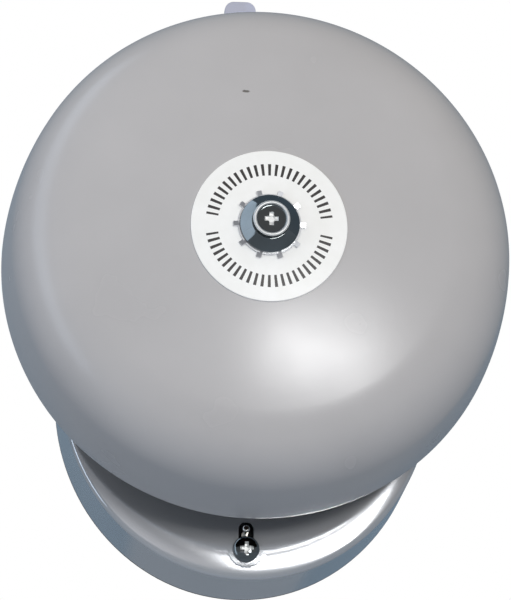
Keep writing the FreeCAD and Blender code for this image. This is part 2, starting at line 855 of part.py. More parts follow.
# Back plate with the hanging lug above and the tongue that the cover hooks over
plate_oval = oval(inner_wide - s.fit_gap, inner_tall - s.fit_gap, s.plate_thick, ZERO)
lug = rounded(
    block(s.lug_wide, s.lug_top - s.case_mid_up, s.plate_thick,
          (-s.lug_wide / 2, s.case_mid_up, ZERO)),
    s.lug_corner_r,
    lambda edge: along(edge, Vector(0, 0, 1)) and near(edge.BoundBox.YMin, s.lug_top),
)
tongue_up = s.case_mid_up + inner_tall - s.fit_gap - s.tongue_thick
tongue_riser = block(s.tongue_wide, s.tongue_thick, s.tongue_out + s.tongue_thick - plate_front,
                     (-s.tongue_wide / 2, tongue_up, plate_front))
tongue_reach = block(s.tongue_wide, s.tongue_reach + s.tongue_thick, s.tongue_thick,
                     (-s.tongue_wide / 2, tongue_up, s.tongue_out))
foot_hole_up = s.case_mid_up - s.foot_hole_drop
plate_holes = [
    through_plate(s.lug_hole_r, ZERO, s.lug_top - s.lug_hole_drop),
    through_plate(s.foot_hole_r, -s.foot_hole_x, foot_hole_up),
    through_plate(s.foot_hole_r, s.foot_hole_x, foot_hole_up),
    through_plate(s.cable_hole_r, s.cable_x, cable_up),
    through_plate(s.cover_post_spigot_r + s.run_gap, ZERO, cover_screw_up),
    through_plate(s.block_screw_shank_r + s.run_gap, block_mid_x, block_mid_up),
]
plate_holes += [
    through_plate(s.pillar_screw_shank_r + s.run_gap, x, y) for x, y in pillar_places
]
plate_holes += [
    through_plate(s.chassis_screw_shank_r + s.run_gap, x, y) for x, y in chassis_places
]
node("back_plate", cut(join(plate_oval, lug, tongue_riser, tongue_reach), *plate_holes))

# Seal between the cover's edge and the wall
gasket_outer = oval(s.case_half_wide, s.case_half_tall, s.gasket_thick, ZERO)
gasket_inner = oval(s.case_half_wide - s.case_wall, s.case_half_tall - s.case_wall,
                    s.gasket_thick + s.cut_over * 2, -s.cut_over)
lug_way = block(s.lug_wide + s.fit_gap * 2, s.lug_top, s.plate_thick + s.fit_gap * 2,
                (-s.lug_wide / 2 - s.fit_gap, ZERO, -s.fit_gap))
node("base_gasket", cut(gasket_outer, gasket_inner, lug_way))

# Cover: an oval pressed dish
cover_length = s.case_depth - s.gasket_thick - s.lay_gap
cover_low = s.gasket_thick + s.lay_gap
cover_outer = rounded(
    oval(s.case_half_wide, s.case_half_tall, cover_length, cover_low),
    s.case_shoulder_r,
    lies_at_out(s.case_depth),
)
inner_length = case_inside - cover_low + s.cut_over
cover_inner = rounded(
    oval(inner_wide, inner_tall, inner_length, cover_low - s.cut_over),
    s.case_shoulder_r - s.case_wall,
    lies_at_out(case_inside),
)
sheet_cut = s.case_wall + s.cut_over * 2
sheet_low = case_inside - s.cut_over
pillar_hole = rod(s.grommet_neck_r + s.run_gap, sheet_cut, (ZERO, ZERO, sheet_low))
slot_top = rod(s.cover_slot_wide / 2, sheet_cut,
               (ZERO, cover_screw_up + s.cover_slot_rise, sheet_low))
slot_run = block(s.cover_slot_wide, s.cover_slot_rise, sheet_cut,
                 (-s.cover_slot_wide / 2, cover_screw_up, sheet_low))
slot_foot = rod(s.cover_slot_wide / 2, sheet_cut, (ZERO, cover_screw_up, sheet_low))
# The pull ends when the core's far edge is nearly reached, and the rod drops further
pull = s.pole_gap - s.fit_gap
rod_drop = pull * (s.striker_rod_x - hinge_x) / (s.coil_x + s.core_r - hinge_x)
slot_half = s.striker_rod_r + s.striker_slot_margin
striker_slot = block(slot_half * 2, slot_half * 2 + rod_drop, sheet_cut,
                     (s.striker_rod_x - slot_half, armature_mid_up - rod_drop - slot_half,
                      sheet_low))
tongue_slot = block(s.tongue_wide + s.fit_gap * 2, s.case_half_tall, s.tongue_thick + s.fit_gap * 2,
                    (-s.tongue_wide / 2 - s.fit_gap, ZERO, s.tongue_out - s.fit_gap))
lug_notch = block(s.lug_wide + s.fit_gap * 2, s.case_half_tall, s.plate_thick + s.fit_gap,
                  (-s.lug_wide / 2 - s.fit_gap, ZERO, ZERO))
node("case_cover", cut(cover_outer, cover_inner, pillar_hole, slot_top, slot_run, slot_foot,
                       striker_slot, tongue_slot, lug_notch))

# Rubber grommet between the cover and the pillar
neck_low = s.grommet_flange_thick
neck_high = neck_low + s.case_wall + s.lay_gap * 2
node("pillar_grommet", seat(turned("PillarGrommet", [
    (s.pillar_r + s.run_gap, 0),
    (s.grommet_flange_r, 0),
    (s.grommet_flange_r, neck_low),
    (s.grommet_neck_r, neck_low),
    (s.grommet_neck_r, neck_high),
    (s.grommet_flange_r, neck_high),
    (s.grommet_flange_r - s.pillar_bevel, neck_high + s.grommet_flange_thick),
    (s.pillar_r + s.run_gap, neck_high + s.grommet_flange_thick),
]), (ZERO, ZERO, case_inside - s.grommet_flange_thick - s.lay_gap)))

# Cable grommet in the back plate
node("cable_grommet", seat(turned("CableGrommet", [
    (s.cable_way_r, 0),
    (s.cable_hole_r - s.run_gap, 0),
    (s.cable_hole_r - s.run_gap, plate_front + s.lay_gap),
    (s.cable_flange_r, plate_front + s.lay_gap),
    (s.cable_flange_r, plate_front + s.cable_flange_thick * FLANGE_EDGE_SHARE),
    (s.cable_hole_r, plate_front + s.cable_flange_thick),
    (s.cable_way_r, plate_front + s.cable_flange_thick),
]), (s.cable_x, cable_up, ZERO)))

# Post for the cover screw, with the key that stands in the cover's slot
post_top = case_inside - s.lay_gap
post_tap = s.cover_screw_shank_r + s.run_gap
post_tap_low = s.case_depth - s.cover_screw_shank_long - s.cut_over
post = turned("CoverPost", [
    (0, s.fit_gap),
    (s.cover_post_spigot_r, s.fit_gap),
    (s.cover_post_spigot_r, plate_front),
    (s.cover_post_r, plate_front),
    (s.cover_post_r, post_top),
    (post_tap, post_top),
    (post_tap, post_tap_low),
    (0, post_tap_low),
])
seat(post, (ZERO, cover_screw_up, ZERO))
key_low = case_inside - s.cover_key_root
key_web_start = s.cover_post_r * KEY_WEB_START_SHARE
key_web = block(s.cover_key_r * 2, s.cover_key_rise - key_web_start, s.cover_key_web * 2,
                (-s.cover_key_r, cover_screw_up + key_web_start, key_low))
key_pin = rod(s.cover_key_r, s.case_depth + s.cover_key_proud - key_low,
              (ZERO, cover_screw_up + s.cover_key_rise, key_low))
node("cover_post", join(post, key_web, rounded(
    key_pin, s.cover_key_r * KEY_ROUND_SHARE, lies_at_out(s.case_depth + s.cover_key_proud))))
node("cover_screw", pan_screw(
    s.cover_screw_head_r, s.cover_screw_head_rise, s.cover_screw_shank_r,
    s.cover_screw_shank_long,
    (s.cover_recess_long, s.cover_recess_wide, s.cover_recess_deep),
    (ZERO, cover_screw_up, s.case_depth + s.lay_gap)))

# Chassis: a folded sheet with a foot for the yoke and a shelf for the hinge spring
chassis_step_x = block_right + s.chassis_step_gap
chassis_sheet = seat(padded("ChassisSheet", [
    (-s.chassis_foot_half_wide, chassis_low_up),
    (s.chassis_foot_half_wide, chassis_low_up),
    (s.chassis_half_wide, chassis_corner_up),
    (s.chassis_half_wide, s.chassis_ear_up),
    (s.chassis_ear_x, s.chassis_ear_up),
    (s.chassis_ear_x, s.chassis_top_up),
    (chassis_step_x, s.chassis_top_up),
    (chassis_step_x, s.chassis_step_up),
    (s.chassis_shelf_left, s.chassis_step_up),
    (s.chassis_shelf_left, s.chassis_shelf_low_up),
    (-s.chassis_half_wide, s.chassis_shelf_low_up),
    (-s.chassis_half_wide, chassis_corner_up),
], s.sheet_thick), (ZERO, ZERO, plate_front))
foot_flange = block(s.yoke_half_long * 2, s.sheet_thick, s.chassis_flange_deep,
                    (-s.yoke_half_long, chassis_low_up, plate_front))
shelf_low_up = spring_low_up - s.sheet_thick
shelf = block(s.shelf_right - s.chassis_shelf_left, s.sheet_thick, s.chassis_flange_deep,
              (s.chassis_shelf_left, shelf_low_up, plate_front))
spring_low_out = s.coil_out - s.hinge_spring_wide / 2
spring_outs = (s.coil_out - s.spring_screw_pitch / 2, s.coil_out + s.spring_screw_pitch / 2)
yoke_screw_long = s.sheet_thick + s.yoke_thick + s.yoke_screw_bite
chassis_holes = [
    rod(s.chassis_screw_shank_r + s.run_gap, s.sheet_thick + s.cut_over * 2,
        (x, y, plate_front - s.cut_over))
    for x, y in chassis_places
]
chassis_holes += [
    rod(s.yoke_screw_shank_r + s.run_gap, s.sheet_thick + s.cut_over * 2,
        (x, chassis_low_up - s.cut_over, s.coil_out), "y")
    for x in (-s.coil_x, s.coil_x)
]
chassis_holes += [
    rod(s.spring_screw_shank_r + s.run_gap, s.sheet_thick + s.cut_over * 2,
        (s.spring_screw_x, shelf_low_up - s.cut_over, out), "y")
    for out in spring_outs
]
bush_r = s.bracket_screw_shank_r + s.bracket_bush_wall
bracket_x = s.bracket_left + s.bracket_wide / 2
bracket_ups = (s.bracket_screw_low_up, s.bracket_screw_high_up)
chassis_holes += [
    rod(bush_r + s.run_gap, s.sheet_thick + s.cut_over * 2,
        (bracket_x, up, plate_front - s.cut_over))
    for up in bracket_ups
]
node("chassis", cut(join(chassis_sheet, foot_flange, shelf), *chassis_holes))
node("chassis_screws", *[
    pan_screw(s.chassis_screw_head_r, s.chassis_screw_head_rise, s.chassis_screw_shank_r,
              s.sheet_thick + s.plate_thick - s.fit_gap, SMALL_RECESS, (x, y, chassis_front))
    for x, y in chassis_places
])

# Magnet: yoke, two cores, their screws, bobbins and windings
yoke_bar = rounded(
    block(s.yoke_half_long * 2, s.yoke_thick, s.yoke_wide,
          (-s.yoke_half_long, yoke_low_up, s.coil_out - s.yoke_wide / 2)),
    s.yoke_corner_r,
    lambda edge: along(edge, Vector(0, 1, 0)),
)
yoke_holes = [
    rod(s.yoke_screw_shank_r + s.run_gap, s.yoke_thick + s.cut_over * 2,
        (x, yoke_low_up - s.cut_over, s.coil_out), "y")
    for x in (-s.coil_x, s.coil_x)
]
node("magnet_yoke", cut(yoke_bar, *yoke_holes))
core_long = pole_up - bobbin_low_up
tap_r = s.yoke_screw_shank_r + s.run_gap
node("magnet_cores", *[
    seat(turned("Core", [
        (tap_r, 0),
        (s.core_r, 0),
        (s.core_r, core_long),
        (0, core_long),
        (0, s.yoke_screw_bite + s.cut_over),
        (tap_r, s.yoke_screw_bite + s.cut_over),
    ]), (x, bobbin_low_up, s.coil_out), "y")
    for x in (-s.coil_x, s.coil_x)
])
node("yoke_screws", *[
    pan_screw(s.yoke_screw_head_r, s.yoke_screw_head_rise, s.yoke_screw_shank_r,
              yoke_screw_long, SMALL_RECESS, (x, chassis_low_up, s.coil_out), "down")
    for x in (-s.coil_x, s.coil_x)
])
bore_r = s.core_r + s.run_gap
tube_r = bore_r + s.bobbin_tube_wall
flange = s.bobbin_flange_thick
winding_long = bobbin_long - flange * 2 - s.lay_gap * 2
for side, x in (("left", -s.coil_x), ("right", s.coil_x)):
    node(f"bobbin_{side}", seat(turned("Bobbin", [
        (bore_r, 0),
        (s.bobbin_flange_r, 0),
        (s.bobbin_flange_r, flange),
        (tube_r, flange),
        (tube_r, bobbin_long - flange),
        (s.bobbin_flange_r, bobbin_long - flange),
        (s.bobbin_flange_r, bobbin_long),
        (bore_r, bobbin_long),
    ]), (x, bobbin_low_up, s.coil_out), "y"))
    node(f"winding_{side}", seat(turned("Winding", [
        (tube_r + s.run_gap, 0),
        (s.winding_r, 0),
        (s.winding_r, winding_long),
        (tube_r + s.run_gap, winding_long),
    ]), (x, bobbin_low_up + flange + s.lay_gap, s.coil_out), "y"))

# Armature with its hinge spring, contact blade and striker
bar_low_out = s.coil_out - s.armature_wide / 2
bar = rounded(
    block(s.armature_right - s.armature_left, s.armature_thick, s.armature_wide,
          (s.armature_left, armature_low_up, bar_low_out)),
    s.armature_bevel,
    lambda edge: along(edge, Vector(0, 1, 0)),
)
rivet_xs = (s.rivet_left_x, s.rivet_right_x)
rivet_holes = [
    rod(s.rivet_r + s.run_gap, s.armature_thick + s.cut_over * 2,
        (x, armature_low_up - s.cut_over, s.coil_out), "y")
    for x in rivet_xs
]
rod_start_x = s.armature_right - s.striker_rod_bite
rod_hole = rod(s.striker_rod_r + s.run_gap, s.striker_rod_bite + s.cut_over,
               (rod_start_x, armature_mid_up, s.coil_out), "x")
node("armature", cut(bar, rod_hole, *rivet_holes))

spring = block(s.hinge_spring_right - s.hinge_spring_left, s.hinge_spring_thick,
               s.hinge_spring_wide, (s.hinge_spring_left, spring_low_up, spring_low_out))
spring_holes = [
    rod(s.rivet_r + s.run_gap, s.hinge_spring_thick + s.cut_over * 2,
        (x, spring_low_up - s.cut_over, s.coil_out), "y")
    for x in rivet_xs
]
spring_holes += [
    rod(s.spring_screw_shank_r + s.run_gap, s.hinge_spring_thick + s.cut_over * 2,
        (s.spring_screw_x, spring_low_up - s.cut_over, out), "y")
    for out in spring_outs
]
node("hinge_spring", cut(spring, *spring_holes))

clamp_left = s.hinge_spring_left + s.fit_gap
clamp = block(s.shelf_right - clamp_left, s.clamp_thick, s.hinge_spring_wide,
              (clamp_left, spring_top_up, spring_low_out))
clamp_holes = [
    rod(s.spring_screw_shank_r + s.run_gap, s.clamp_thick + s.cut_over * 2,
        (s.spring_screw_x, spring_top_up - s.cut_over, out), "y")
    for out in spring_outs
]
node("spring_clamp", cut(clamp, *clamp_holes))
clamp_top_up = spring_top_up + s.clamp_thick
node("spring_screws", *[
    pan_screw(s.spring_screw_head_r, s.spring_screw_head_rise, s.spring_screw_shank_r,
              s.clamp_thick + s.hinge_spring_thick + s.spring_screw_bite,
              small_recess(s.spring_screw_head_r, s.spring_screw_head_rise),
              (s.spring_screw_x, clamp_top_up, out), "y")
    for out in spring_outs
])

blade_low_out = s.coil_out - s.blade_wide / 2
blade_end_up = spring_top_up + s.blade_rise
blade_strip = padded("Blade", [
    (s.blade_left, spring_top_up),
    (s.blade_flat_right, spring_top_up),
    (s.contact_screw_x - s.tip_r * 2, blade_end_up),
    (s.blade_right, blade_end_up),
    (s.blade_right, blade_end_up + s.blade_thick),
    (s.contact_screw_x - s.tip_r * 2, blade_end_up + s.blade_thick),
    (s.blade_flat_right, blade_top_up),
    (s.blade_left, blade_top_up),
], s.blade_wide)
seat(blade_strip, (ZERO, ZERO, blade_low_out))
blade_holes = [
    rod(s.rivet_r + s.run_gap, s.blade_thick + s.cut_over * 2,
        (x, spring_top_up - s.cut_over, s.coil_out), "y")
    for x in rivet_xs
]
blade_tip = rod(s.tip_r, s.tip_thick, (s.contact_screw_x, blade_end_up + s.blade_thick, s.coil_out),
                "y")
node("contact_blade", join(cut(blade_strip, *blade_holes), blade_tip))

rivet_long = s.armature_thick + s.hinge_spring_thick + s.blade_thick
node("armature_rivets", *[
    seat(turned("Rivet", [
        (0, -s.rivet_head_rise),
        (s.rivet_head_r * RIVET_FLAT_SHARE, -s.rivet_head_rise),
        (s.rivet_head_r, 0),
        (s.rivet_r, 0),
        (s.rivet_r, rivet_long),
        (s.rivet_head_r, rivet_long),
        (s.rivet_head_r * RIVET_FLAT_SHARE, rivet_long + s.rivet_head_rise),
        (0, rivet_long + s.rivet_head_rise),
    ]), (x, armature_low_up, s.coil_out), "y")
    for x in rivet_xs
])

striker_end = s.striker_head_out + s.striker_head_bore - s.run_gap
node("striker_rod", bent_rod([
    (rod_start_x + s.run_gap, armature_mid_up, s.coil_out),
    (s.striker_rod_x, armature_mid_up, s.coil_out),
    (s.striker_rod_x, armature_mid_up, s.striker_rod_out),
    (striker_head_x, striker_head_up, s.striker_head_out - s.striker_neck_long),
    (striker_head_x, striker_head_up, striker_end),
], s.striker_rod_r, s.striker_rod_bend_r))
head_bore_r = s.striker_rod_r + s.run_gap
head_shape = turned("StrikerHead", [
    (head_bore_r, 0),
    (s.striker_head_r - s.striker_head_round, 0),
    (s.striker_head_r, s.striker_head_round),
    (s.striker_head_r, s.striker_head_long - s.striker_head_round),
    (s.striker_head_r - s.striker_head_round, s.striker_head_long),
    (0, s.striker_head_long),
    (0, s.striker_head_bore),
    (head_bore_r, s.striker_head_bore),
], {
    1: (s.striker_head_round, 1),
    3: (s.striker_head_round, 1),
})
node("striker_head", seat(head_shape, (striker_head_x, striker_head_up, s.striker_head_out)))

# Fixed contact: insulated bracket, adjusting screw and its locknut
insulator_low = chassis_front
bracket_low = insulator_low + s.insulator_thick
insulator = block(s.bracket_wide + s.insulator_margin * 2,
                  s.bracket_top_up - s.bracket_shelf_up + s.insulator_margin * 2,
                  s.insulator_thick,
                  (s.bracket_left - s.insulator_margin, s.bracket_shelf_up - s.insulator_margin,
                   insulator_low))
bush_long = s.insulator_thick + s.sheet_thick - s.lay_gap
bushes = [rod(bush_r, s.sheet_thick, (bracket_x, up, plate_front + s.lay_gap)) for up in bracket_ups]
bush_holes = [
    rod(s.bracket_screw_shank_r + s.run_gap, bush_long + s.cut_over * 2,
        (bracket_x, up, plate_front - s.cut_over))
    for up in bracket_ups
]
node("contact_insulator", cut(join(insulator, *bushes), *bush_holes))

foot_plate = block(s.bracket_wide, s.bracket_top_up - s.bracket_shelf_up, s.bracket_thick,
                   (s.bracket_left, s.bracket_shelf_up, bracket_low))
bracket_shelf = block(s.bracket_wide, s.bracket_thick, s.bracket_deep,
                      (s.bracket_left, s.bracket_shelf_up, bracket_low))
bracket_holes = [
    rod(s.bracket_screw_shank_r + s.run_gap, s.bracket_thick + s.cut_over * 2,
        (bracket_x, up, bracket_low - s.cut_over))
    for up in bracket_ups
]
bracket_holes.append(rod(
    s.contact_screw_r + s.run_gap, s.bracket_thick + s.cut_over * 2,
    (s.contact_screw_x, s.bracket_shelf_up - s.cut_over, s.coil_out), "y"))
node("contact_bracket", cut(join(foot_plate, bracket_shelf), *bracket_holes))
bracket_front = bracket_low + s.bracket_thick
node("bracket_screws", *[
    pan_screw(s.bracket_screw_head_r, s.bracket_screw_head_rise, s.bracket_screw_shank_r,
              s.bracket_thick + s.insulator_thick + s.sheet_thick - s.fit_gap,
              small_recess(s.bracket_screw_head_r, s.bracket_screw_head_rise),
              (bracket_x, up, bracket_front))
    for up in bracket_ups
])
point_up = blade_end_up + s.blade_thick + s.tip_thick + s.contact_gap
shelf_top_up = s.bracket_shelf_up + s.bracket_thick
thread_up = s.contact_point_long
head_up = shelf_top_up - point_up + s.contact_stand
contact_shape = turned("ContactScrew", [
    (0, 0),
    (s.contact_point_r, 0),
    (s.contact_point_r, thread_up),
    (s.contact_screw_r, thread_up),
    (s.contact_screw_r, head_up),
    (s.contact_head_r, head_up),
    (s.contact_head_r, head_up + s.contact_head_rise),
    (0, head_up + s.contact_head_rise),
])
driver_slot = middle_block(
    s.contact_head_r * 2 + s.cut_over * 2, s.contact_slot_wide, s.contact_slot_deep + s.cut_over,
    (ZERO, ZERO, head_up + s.contact_head_rise - s.contact_slot_deep))
node("contact_screw", seat(cut(contact_shape, driver_slot),
                           (s.contact_screw_x, point_up, s.coil_out), "y"))
nut_body = doc.addObject("Part::Prism", "NutBody")
nut_body.Polygon = 6
bind(nut_body, "Circumradius", s.locknut_across / math.sqrt(3))
bind(nut_body, "Height", s.locknut_thick)
nut_hole = rod(s.contact_screw_r + s.run_gap, s.locknut_thick + s.cut_over * 2,
               (ZERO, ZERO, -s.cut_over))
node("contact_locknut", seat(cut(nut_body, nut_hole),
                             (s.contact_screw_x, shelf_top_up, s.coil_out), "y"))

# Terminal block with its brass plates and screws
bay_floor = plate_front + s.block_deep - s.bay_deep
housing = rounded(
    block(s.block_wide, block_tall, s.block_deep, (block_left, s.block_low_up, plate_front)),
    s.block_round,
    lambda edge: along(edge, Vector(0, 0, 1)),
)
block_cuts = []
for up in bay_ups:
    block_cuts.append(middle_block(s.bay_wide, bay_tall, s.bay_deep + s.cut_over,
                                   (block_mid_x, up, bay_floor)))
    block_cuts.append(block(s.block_wide / 2 + s.cut_over, s.bay_mouth,
                            s.bay_deep + s.cut_over,
                            (block_mid_x, up - s.bay_mouth / 2, bay_floor)))
    block_cuts.append(rod(s.terminal_shank_r + s.run_gap, s.terminal_bite + s.cut_over,
                          (block_mid_x, up, bay_floor - s.terminal_bite)))
block_cuts.append(rod(s.block_screw_shank_r + s.run_gap, s.block_deep + s.cut_over * 2,
                      (block_mid_x, block_mid_up, plate_front - s.cut_over)))
node("terminal_block", cut(housing, *block_cuts))
node("block_screw", pan_screw(
    s.block_screw_head_r, s.spring_screw_head_rise, s.block_screw_shank_r,
    s.block_deep + s.plate_thick - s.fit_gap,
    small_recess(s.block_screw_head_r, s.spring_screw_head_rise),
    (block_mid_x, block_mid_up, plate_front + s.block_deep)))
node("terminal_plates", *[
    cut(middle_block(s.bay_wide - s.brass_margin * 2, bay_tall - s.brass_margin * 2,
                     s.brass_thick, (block_mid_x, up, bay_floor)),
        rod(s.terminal_shank_r + s.run_gap, s.brass_thick + s.cut_over * 2,
            (block_mid_x, up, bay_floor - s.cut_over)))
    for up in bay_ups
])
brass_top = bay_floor + s.brass_thick
node("terminal_screws", *[
    pan_screw(s.terminal_head_r, s.terminal_head_rise, s.terminal_shank_r,
              s.brass_thick + s.terminal_lift + s.terminal_bite - s.fit_gap,
              SMALL_RECESS, (block_mid_x, up, brass_top + s.terminal_lift))
    for up in bay_ups
])

# Leads, made whole along their routes, and the suppressor across the contacts
lead_out = brass_top + s.lead_r + s.lay_gap
lead_in_x = block_mid_x + s.terminal_shank_r + s.lead_r
lead_way_x = block_right + s.lead_way
low_out = chassis_front + s.lead_stand
coil_face_up = bobbin_top_up + s.lay_gap
hop_up = coil_face_up + s.lead_hop
core_side = s.core_r + s.bobbin_tube_wall
node("lead_terminal_coil", bent_rod([
    (lead_in_x, lower_bay_up, lead_out),
    (lead_way_x, lower_bay_up, lead_out),
    (lead_way_x, shelf_low_up, low_out),
    (-s.coil_x - core_side, hop_up, low_out),
    (-s.coil_x - core_side, coil_face_up, low_out),
], s.lead_r, s.tail_bend_r))
node("lead_coil_link", bent_rod([
    (-s.coil_x + core_side, coil_face_up, low_out),
    (-s.coil_x + core_side, hop_up, low_out),
    (s.coil_x - core_side, hop_up, low_out),
    (s.coil_x - core_side, coil_face_up, low_out),
], s.lead_r, s.lead_bend_r))
node("lead_coil_chassis", bent_rod([
    (s.coil_x + core_side, coil_face_up, low_out),
    (s.coil_x + core_side, hop_up, low_out),
    (s.chassis_screw_x - s.lead_bend_r, hop_up + s.lead_bend_r, low_out + s.lead_r),
    (s.chassis_screw_x - s.lead_bend_r, hop_up + s.lead_bend_r, chassis_front + s.lay_gap),
], s.lead_r, s.tail_bend_r / 2))
lead_high = bracket_front + s.lead_r + s.lay_gap
node("lead_contact_terminal", bent_rod([
    (s.bracket_left + s.lead_r, s.bracket_top_up - s.lead_r * 2, lead_high),
    (s.bracket_left + s.lead_r, s.pillar_r + s.lead_stand, lead_high),
    (s.pillar_r, s.pillar_foot_r + s.lead_stand, lead_high),
    (-s.pillar_r - s.lead_bend_r, s.pillar_foot_r + s.lead_r, lead_high),
    (s.cable_x, upper_bay_up + s.lead_stand, lead_high),
    (block_right + s.lead_stand, upper_bay_up, lead_out),
    (lead_in_x, upper_bay_up, lead_out),
], s.lead_r, s.lead_bend_r))
capsule_top_up = s.suppressor_low_up + s.suppressor_long
node("suppressor", rounded(
    rod(s.suppressor_r, s.suppressor_long,
        (s.suppressor_x, s.suppressor_low_up, s.suppressor_out), "y"),
    s.suppressor_round,
    lambda edge: isinstance(edge.Curve, Part.Circle)))
tail_low = bracket_low + s.bracket_thick / 2
node("suppressor_tails", bent_rod([
    (s.suppressor_x, capsule_top_up + s.lay_gap, s.suppressor_out),
    (s.suppressor_x, capsule_top_up + s.tail_hop, s.suppressor_out),
    (s.bracket_left + s.bracket_wide + s.tail_hop * 2, capsule_top_up + s.tail_hop, s.suppressor_out),
    (s.bracket_left + s.bracket_wide + s.tail_hop, capsule_top_up + s.tail_hop, tail_low),
    (s.bracket_left + s.bracket_wide + s.lay_gap, capsule_top_up + s.tail_hop, tail_low),
], s.tail_r, s.tail_r * 2), bent_rod([
    (s.suppressor_x, s.suppressor_low_up - s.lay_gap, s.suppressor_out),
    (s.suppressor_x, s.suppressor_low_up - s.tail_hop, s.suppressor_out),
    (s.chassis_half_wide - s.tail_hop / 2, s.suppressor_low_up - s.tail_hop, s.suppressor_out),
    (s.chassis_half_wide - s.tail_hop / 2, s.suppressor_low_up - s.tail_hop,
     chassis_front + s.lay_gap),
], s.tail_r, s.tail_bend_r))

doc.recompute()
for item in doc.Objects:
    if "Invalid" in item.State or "Error" in item.State:
        raise RuntimeError(f"{item.Name} ({item.Label}) failed: {item.State}")
for item in NODES:
    if item.Shape.isNull() or not item.Shape.isValid():
        raise RuntimeError(f"{item.Label} has no valid shape")

os.makedirs("parts", exist_ok=True)
for item in NODES:
    item.Shape.exportStep(f"parts/{item.Label}.step")
    box = item.Shape.BoundBox
    solids = len(item.Shape.Solids)
    print(f"{item.Label}: {solids} solids, {item.Shape.Volume:.1f} mm3, "
          f"x {box.XMin:.2f} {box.XMax:.2f}, y {box.YMin:.2f} {box.YMax:.2f}, "
          f"z {box.ZMin:.2f} {box.ZMax:.2f}")
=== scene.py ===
import bpy
import json
import math
from mathutils import Matrix, Quaternion, Vector

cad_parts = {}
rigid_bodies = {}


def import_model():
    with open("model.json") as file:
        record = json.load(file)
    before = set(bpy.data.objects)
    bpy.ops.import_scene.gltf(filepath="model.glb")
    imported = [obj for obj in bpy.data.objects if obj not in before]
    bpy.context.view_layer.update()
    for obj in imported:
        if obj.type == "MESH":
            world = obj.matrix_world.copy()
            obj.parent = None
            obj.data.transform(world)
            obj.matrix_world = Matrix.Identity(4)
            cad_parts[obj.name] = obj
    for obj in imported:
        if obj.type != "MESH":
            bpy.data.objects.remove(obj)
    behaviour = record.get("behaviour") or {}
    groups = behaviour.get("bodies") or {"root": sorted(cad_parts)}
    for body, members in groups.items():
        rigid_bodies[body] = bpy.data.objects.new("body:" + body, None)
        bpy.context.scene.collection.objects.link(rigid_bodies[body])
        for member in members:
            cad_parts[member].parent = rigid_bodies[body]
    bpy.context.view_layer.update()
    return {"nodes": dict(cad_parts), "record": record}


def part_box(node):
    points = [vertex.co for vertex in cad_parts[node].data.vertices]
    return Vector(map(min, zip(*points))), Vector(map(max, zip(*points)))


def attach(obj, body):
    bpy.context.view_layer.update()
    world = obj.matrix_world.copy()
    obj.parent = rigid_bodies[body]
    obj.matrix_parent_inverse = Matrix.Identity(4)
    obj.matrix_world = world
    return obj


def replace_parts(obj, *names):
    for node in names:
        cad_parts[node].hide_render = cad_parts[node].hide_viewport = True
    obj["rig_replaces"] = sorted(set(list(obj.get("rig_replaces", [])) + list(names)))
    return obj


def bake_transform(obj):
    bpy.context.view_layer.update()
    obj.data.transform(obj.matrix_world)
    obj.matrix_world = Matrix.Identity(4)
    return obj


# Looks of a wall-mounted electric bell: a domed gong over an oval cover. Places are read as
# the bell is seen from the front: x to the right, "up", and "out" from the wall. Lengths are
# in mm unless their comment says metres.

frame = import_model()
bpy.ops.object.select_all(action="DESELECT")
nodes = frame["nodes"]
bodies = frame["record"]["behaviour"]["bodies"]
slots = {part["node"]: part["material_slot"] for part in frame["record"]["subparts"]}
bpy.context.scene.view_settings.view_transform = "Standard"

MM = 0.001

# Camera, fitted to the bell's outline in the photograph. Its angles are in degrees, and how
# far it stands from the place that it aims at is in metres.
PHOTO_LONG_SIDE_PX = 600
SENSOR_WIDE = 36.0
FOCAL_PX = 4918.7
CAMERA_FAR = 1.5
CAMERA_AZIMUTH = -5.462
CAMERA_ELEVATION = -16.418
CAMERA_ROLL = 0.2
AIM = Vector((2.473, -30.0, -2.786)) * MM


def away(azimuth, elevation):
    """The direction from the bell to something seen at these angles, in degrees."""
    a, e = math.radians(azimuth), math.radians(elevation)
    return Vector((math.sin(a) * math.cos(e), -math.cos(a) * math.cos(e), math.sin(e)))


def place_camera():
    """The camera looks up at the bell, from a little to its left."""
    data = bpy.data.cameras.new("camera")
    data.sensor_width = SENSOR_WIDE
    data.lens = FOCAL_PX * SENSOR_WIDE / PHOTO_LONG_SIDE_PX
    camera = bpy.data.objects.new("camera", data)
    bpy.context.scene.collection.objects.link(camera)
    back = away(CAMERA_AZIMUTH, CAMERA_ELEVATION)
    right = Vector((0, 0, 1)).cross(back).normalized()
    up = back.cross(right)
    roll = math.radians(CAMERA_ROLL)
    rolled_right = right * math.cos(roll) + up * math.sin(roll)
    rolled_up = up * math.cos(roll) - right * math.sin(roll)
    turn = Matrix((rolled_right, rolled_up, back)).transposed().to_4x4()
    camera.matrix_world = Matrix.Translation(AIM + back * CAMERA_FAR) @ turn
    bpy.context.scene.camera = camera


# Nodes and colours


def wire(tree, item, inputs):
    """Set a node's inputs to numbers or colours, or link them to a socket, or to the output
    that another node has in use."""
    for name, value in inputs.items():
        if isinstance(value, bpy.types.Node):
            value = next(output for output in value.outputs if output.enabled)
        if isinstance(value, bpy.types.NodeSocket):
            tree.links.new(value, item.inputs[name])
        else:
            item.inputs[name].default_value = value


def put(tree, kind, inputs=None, **settings):
    """Add one node with its settings and its inputs."""
    item = tree.nodes.new("ShaderNode" + kind)
    for name, value in settings.items():
        setattr(item, name, value)
    wire(tree, item, inputs or {})
    return item


def shade(code):
    """An sRGB hex colour, as linear numbers."""
    parts = [int(code[at:at + 2], 16) / 255 for at in (1, 3, 5)]
    linear = [p / 12.92 if p <= 0.04045 else ((p + 0.055) / 1.055) ** 2.4 for p in parts]
    return (*linear, 1.0)


def per(size):
    """The scale of a noise whose lumps are this many mm across."""
    return 1 / (size * MM)


# Lights and stage, in metres. A lamp of radiance 1 looks as bright as white paper.

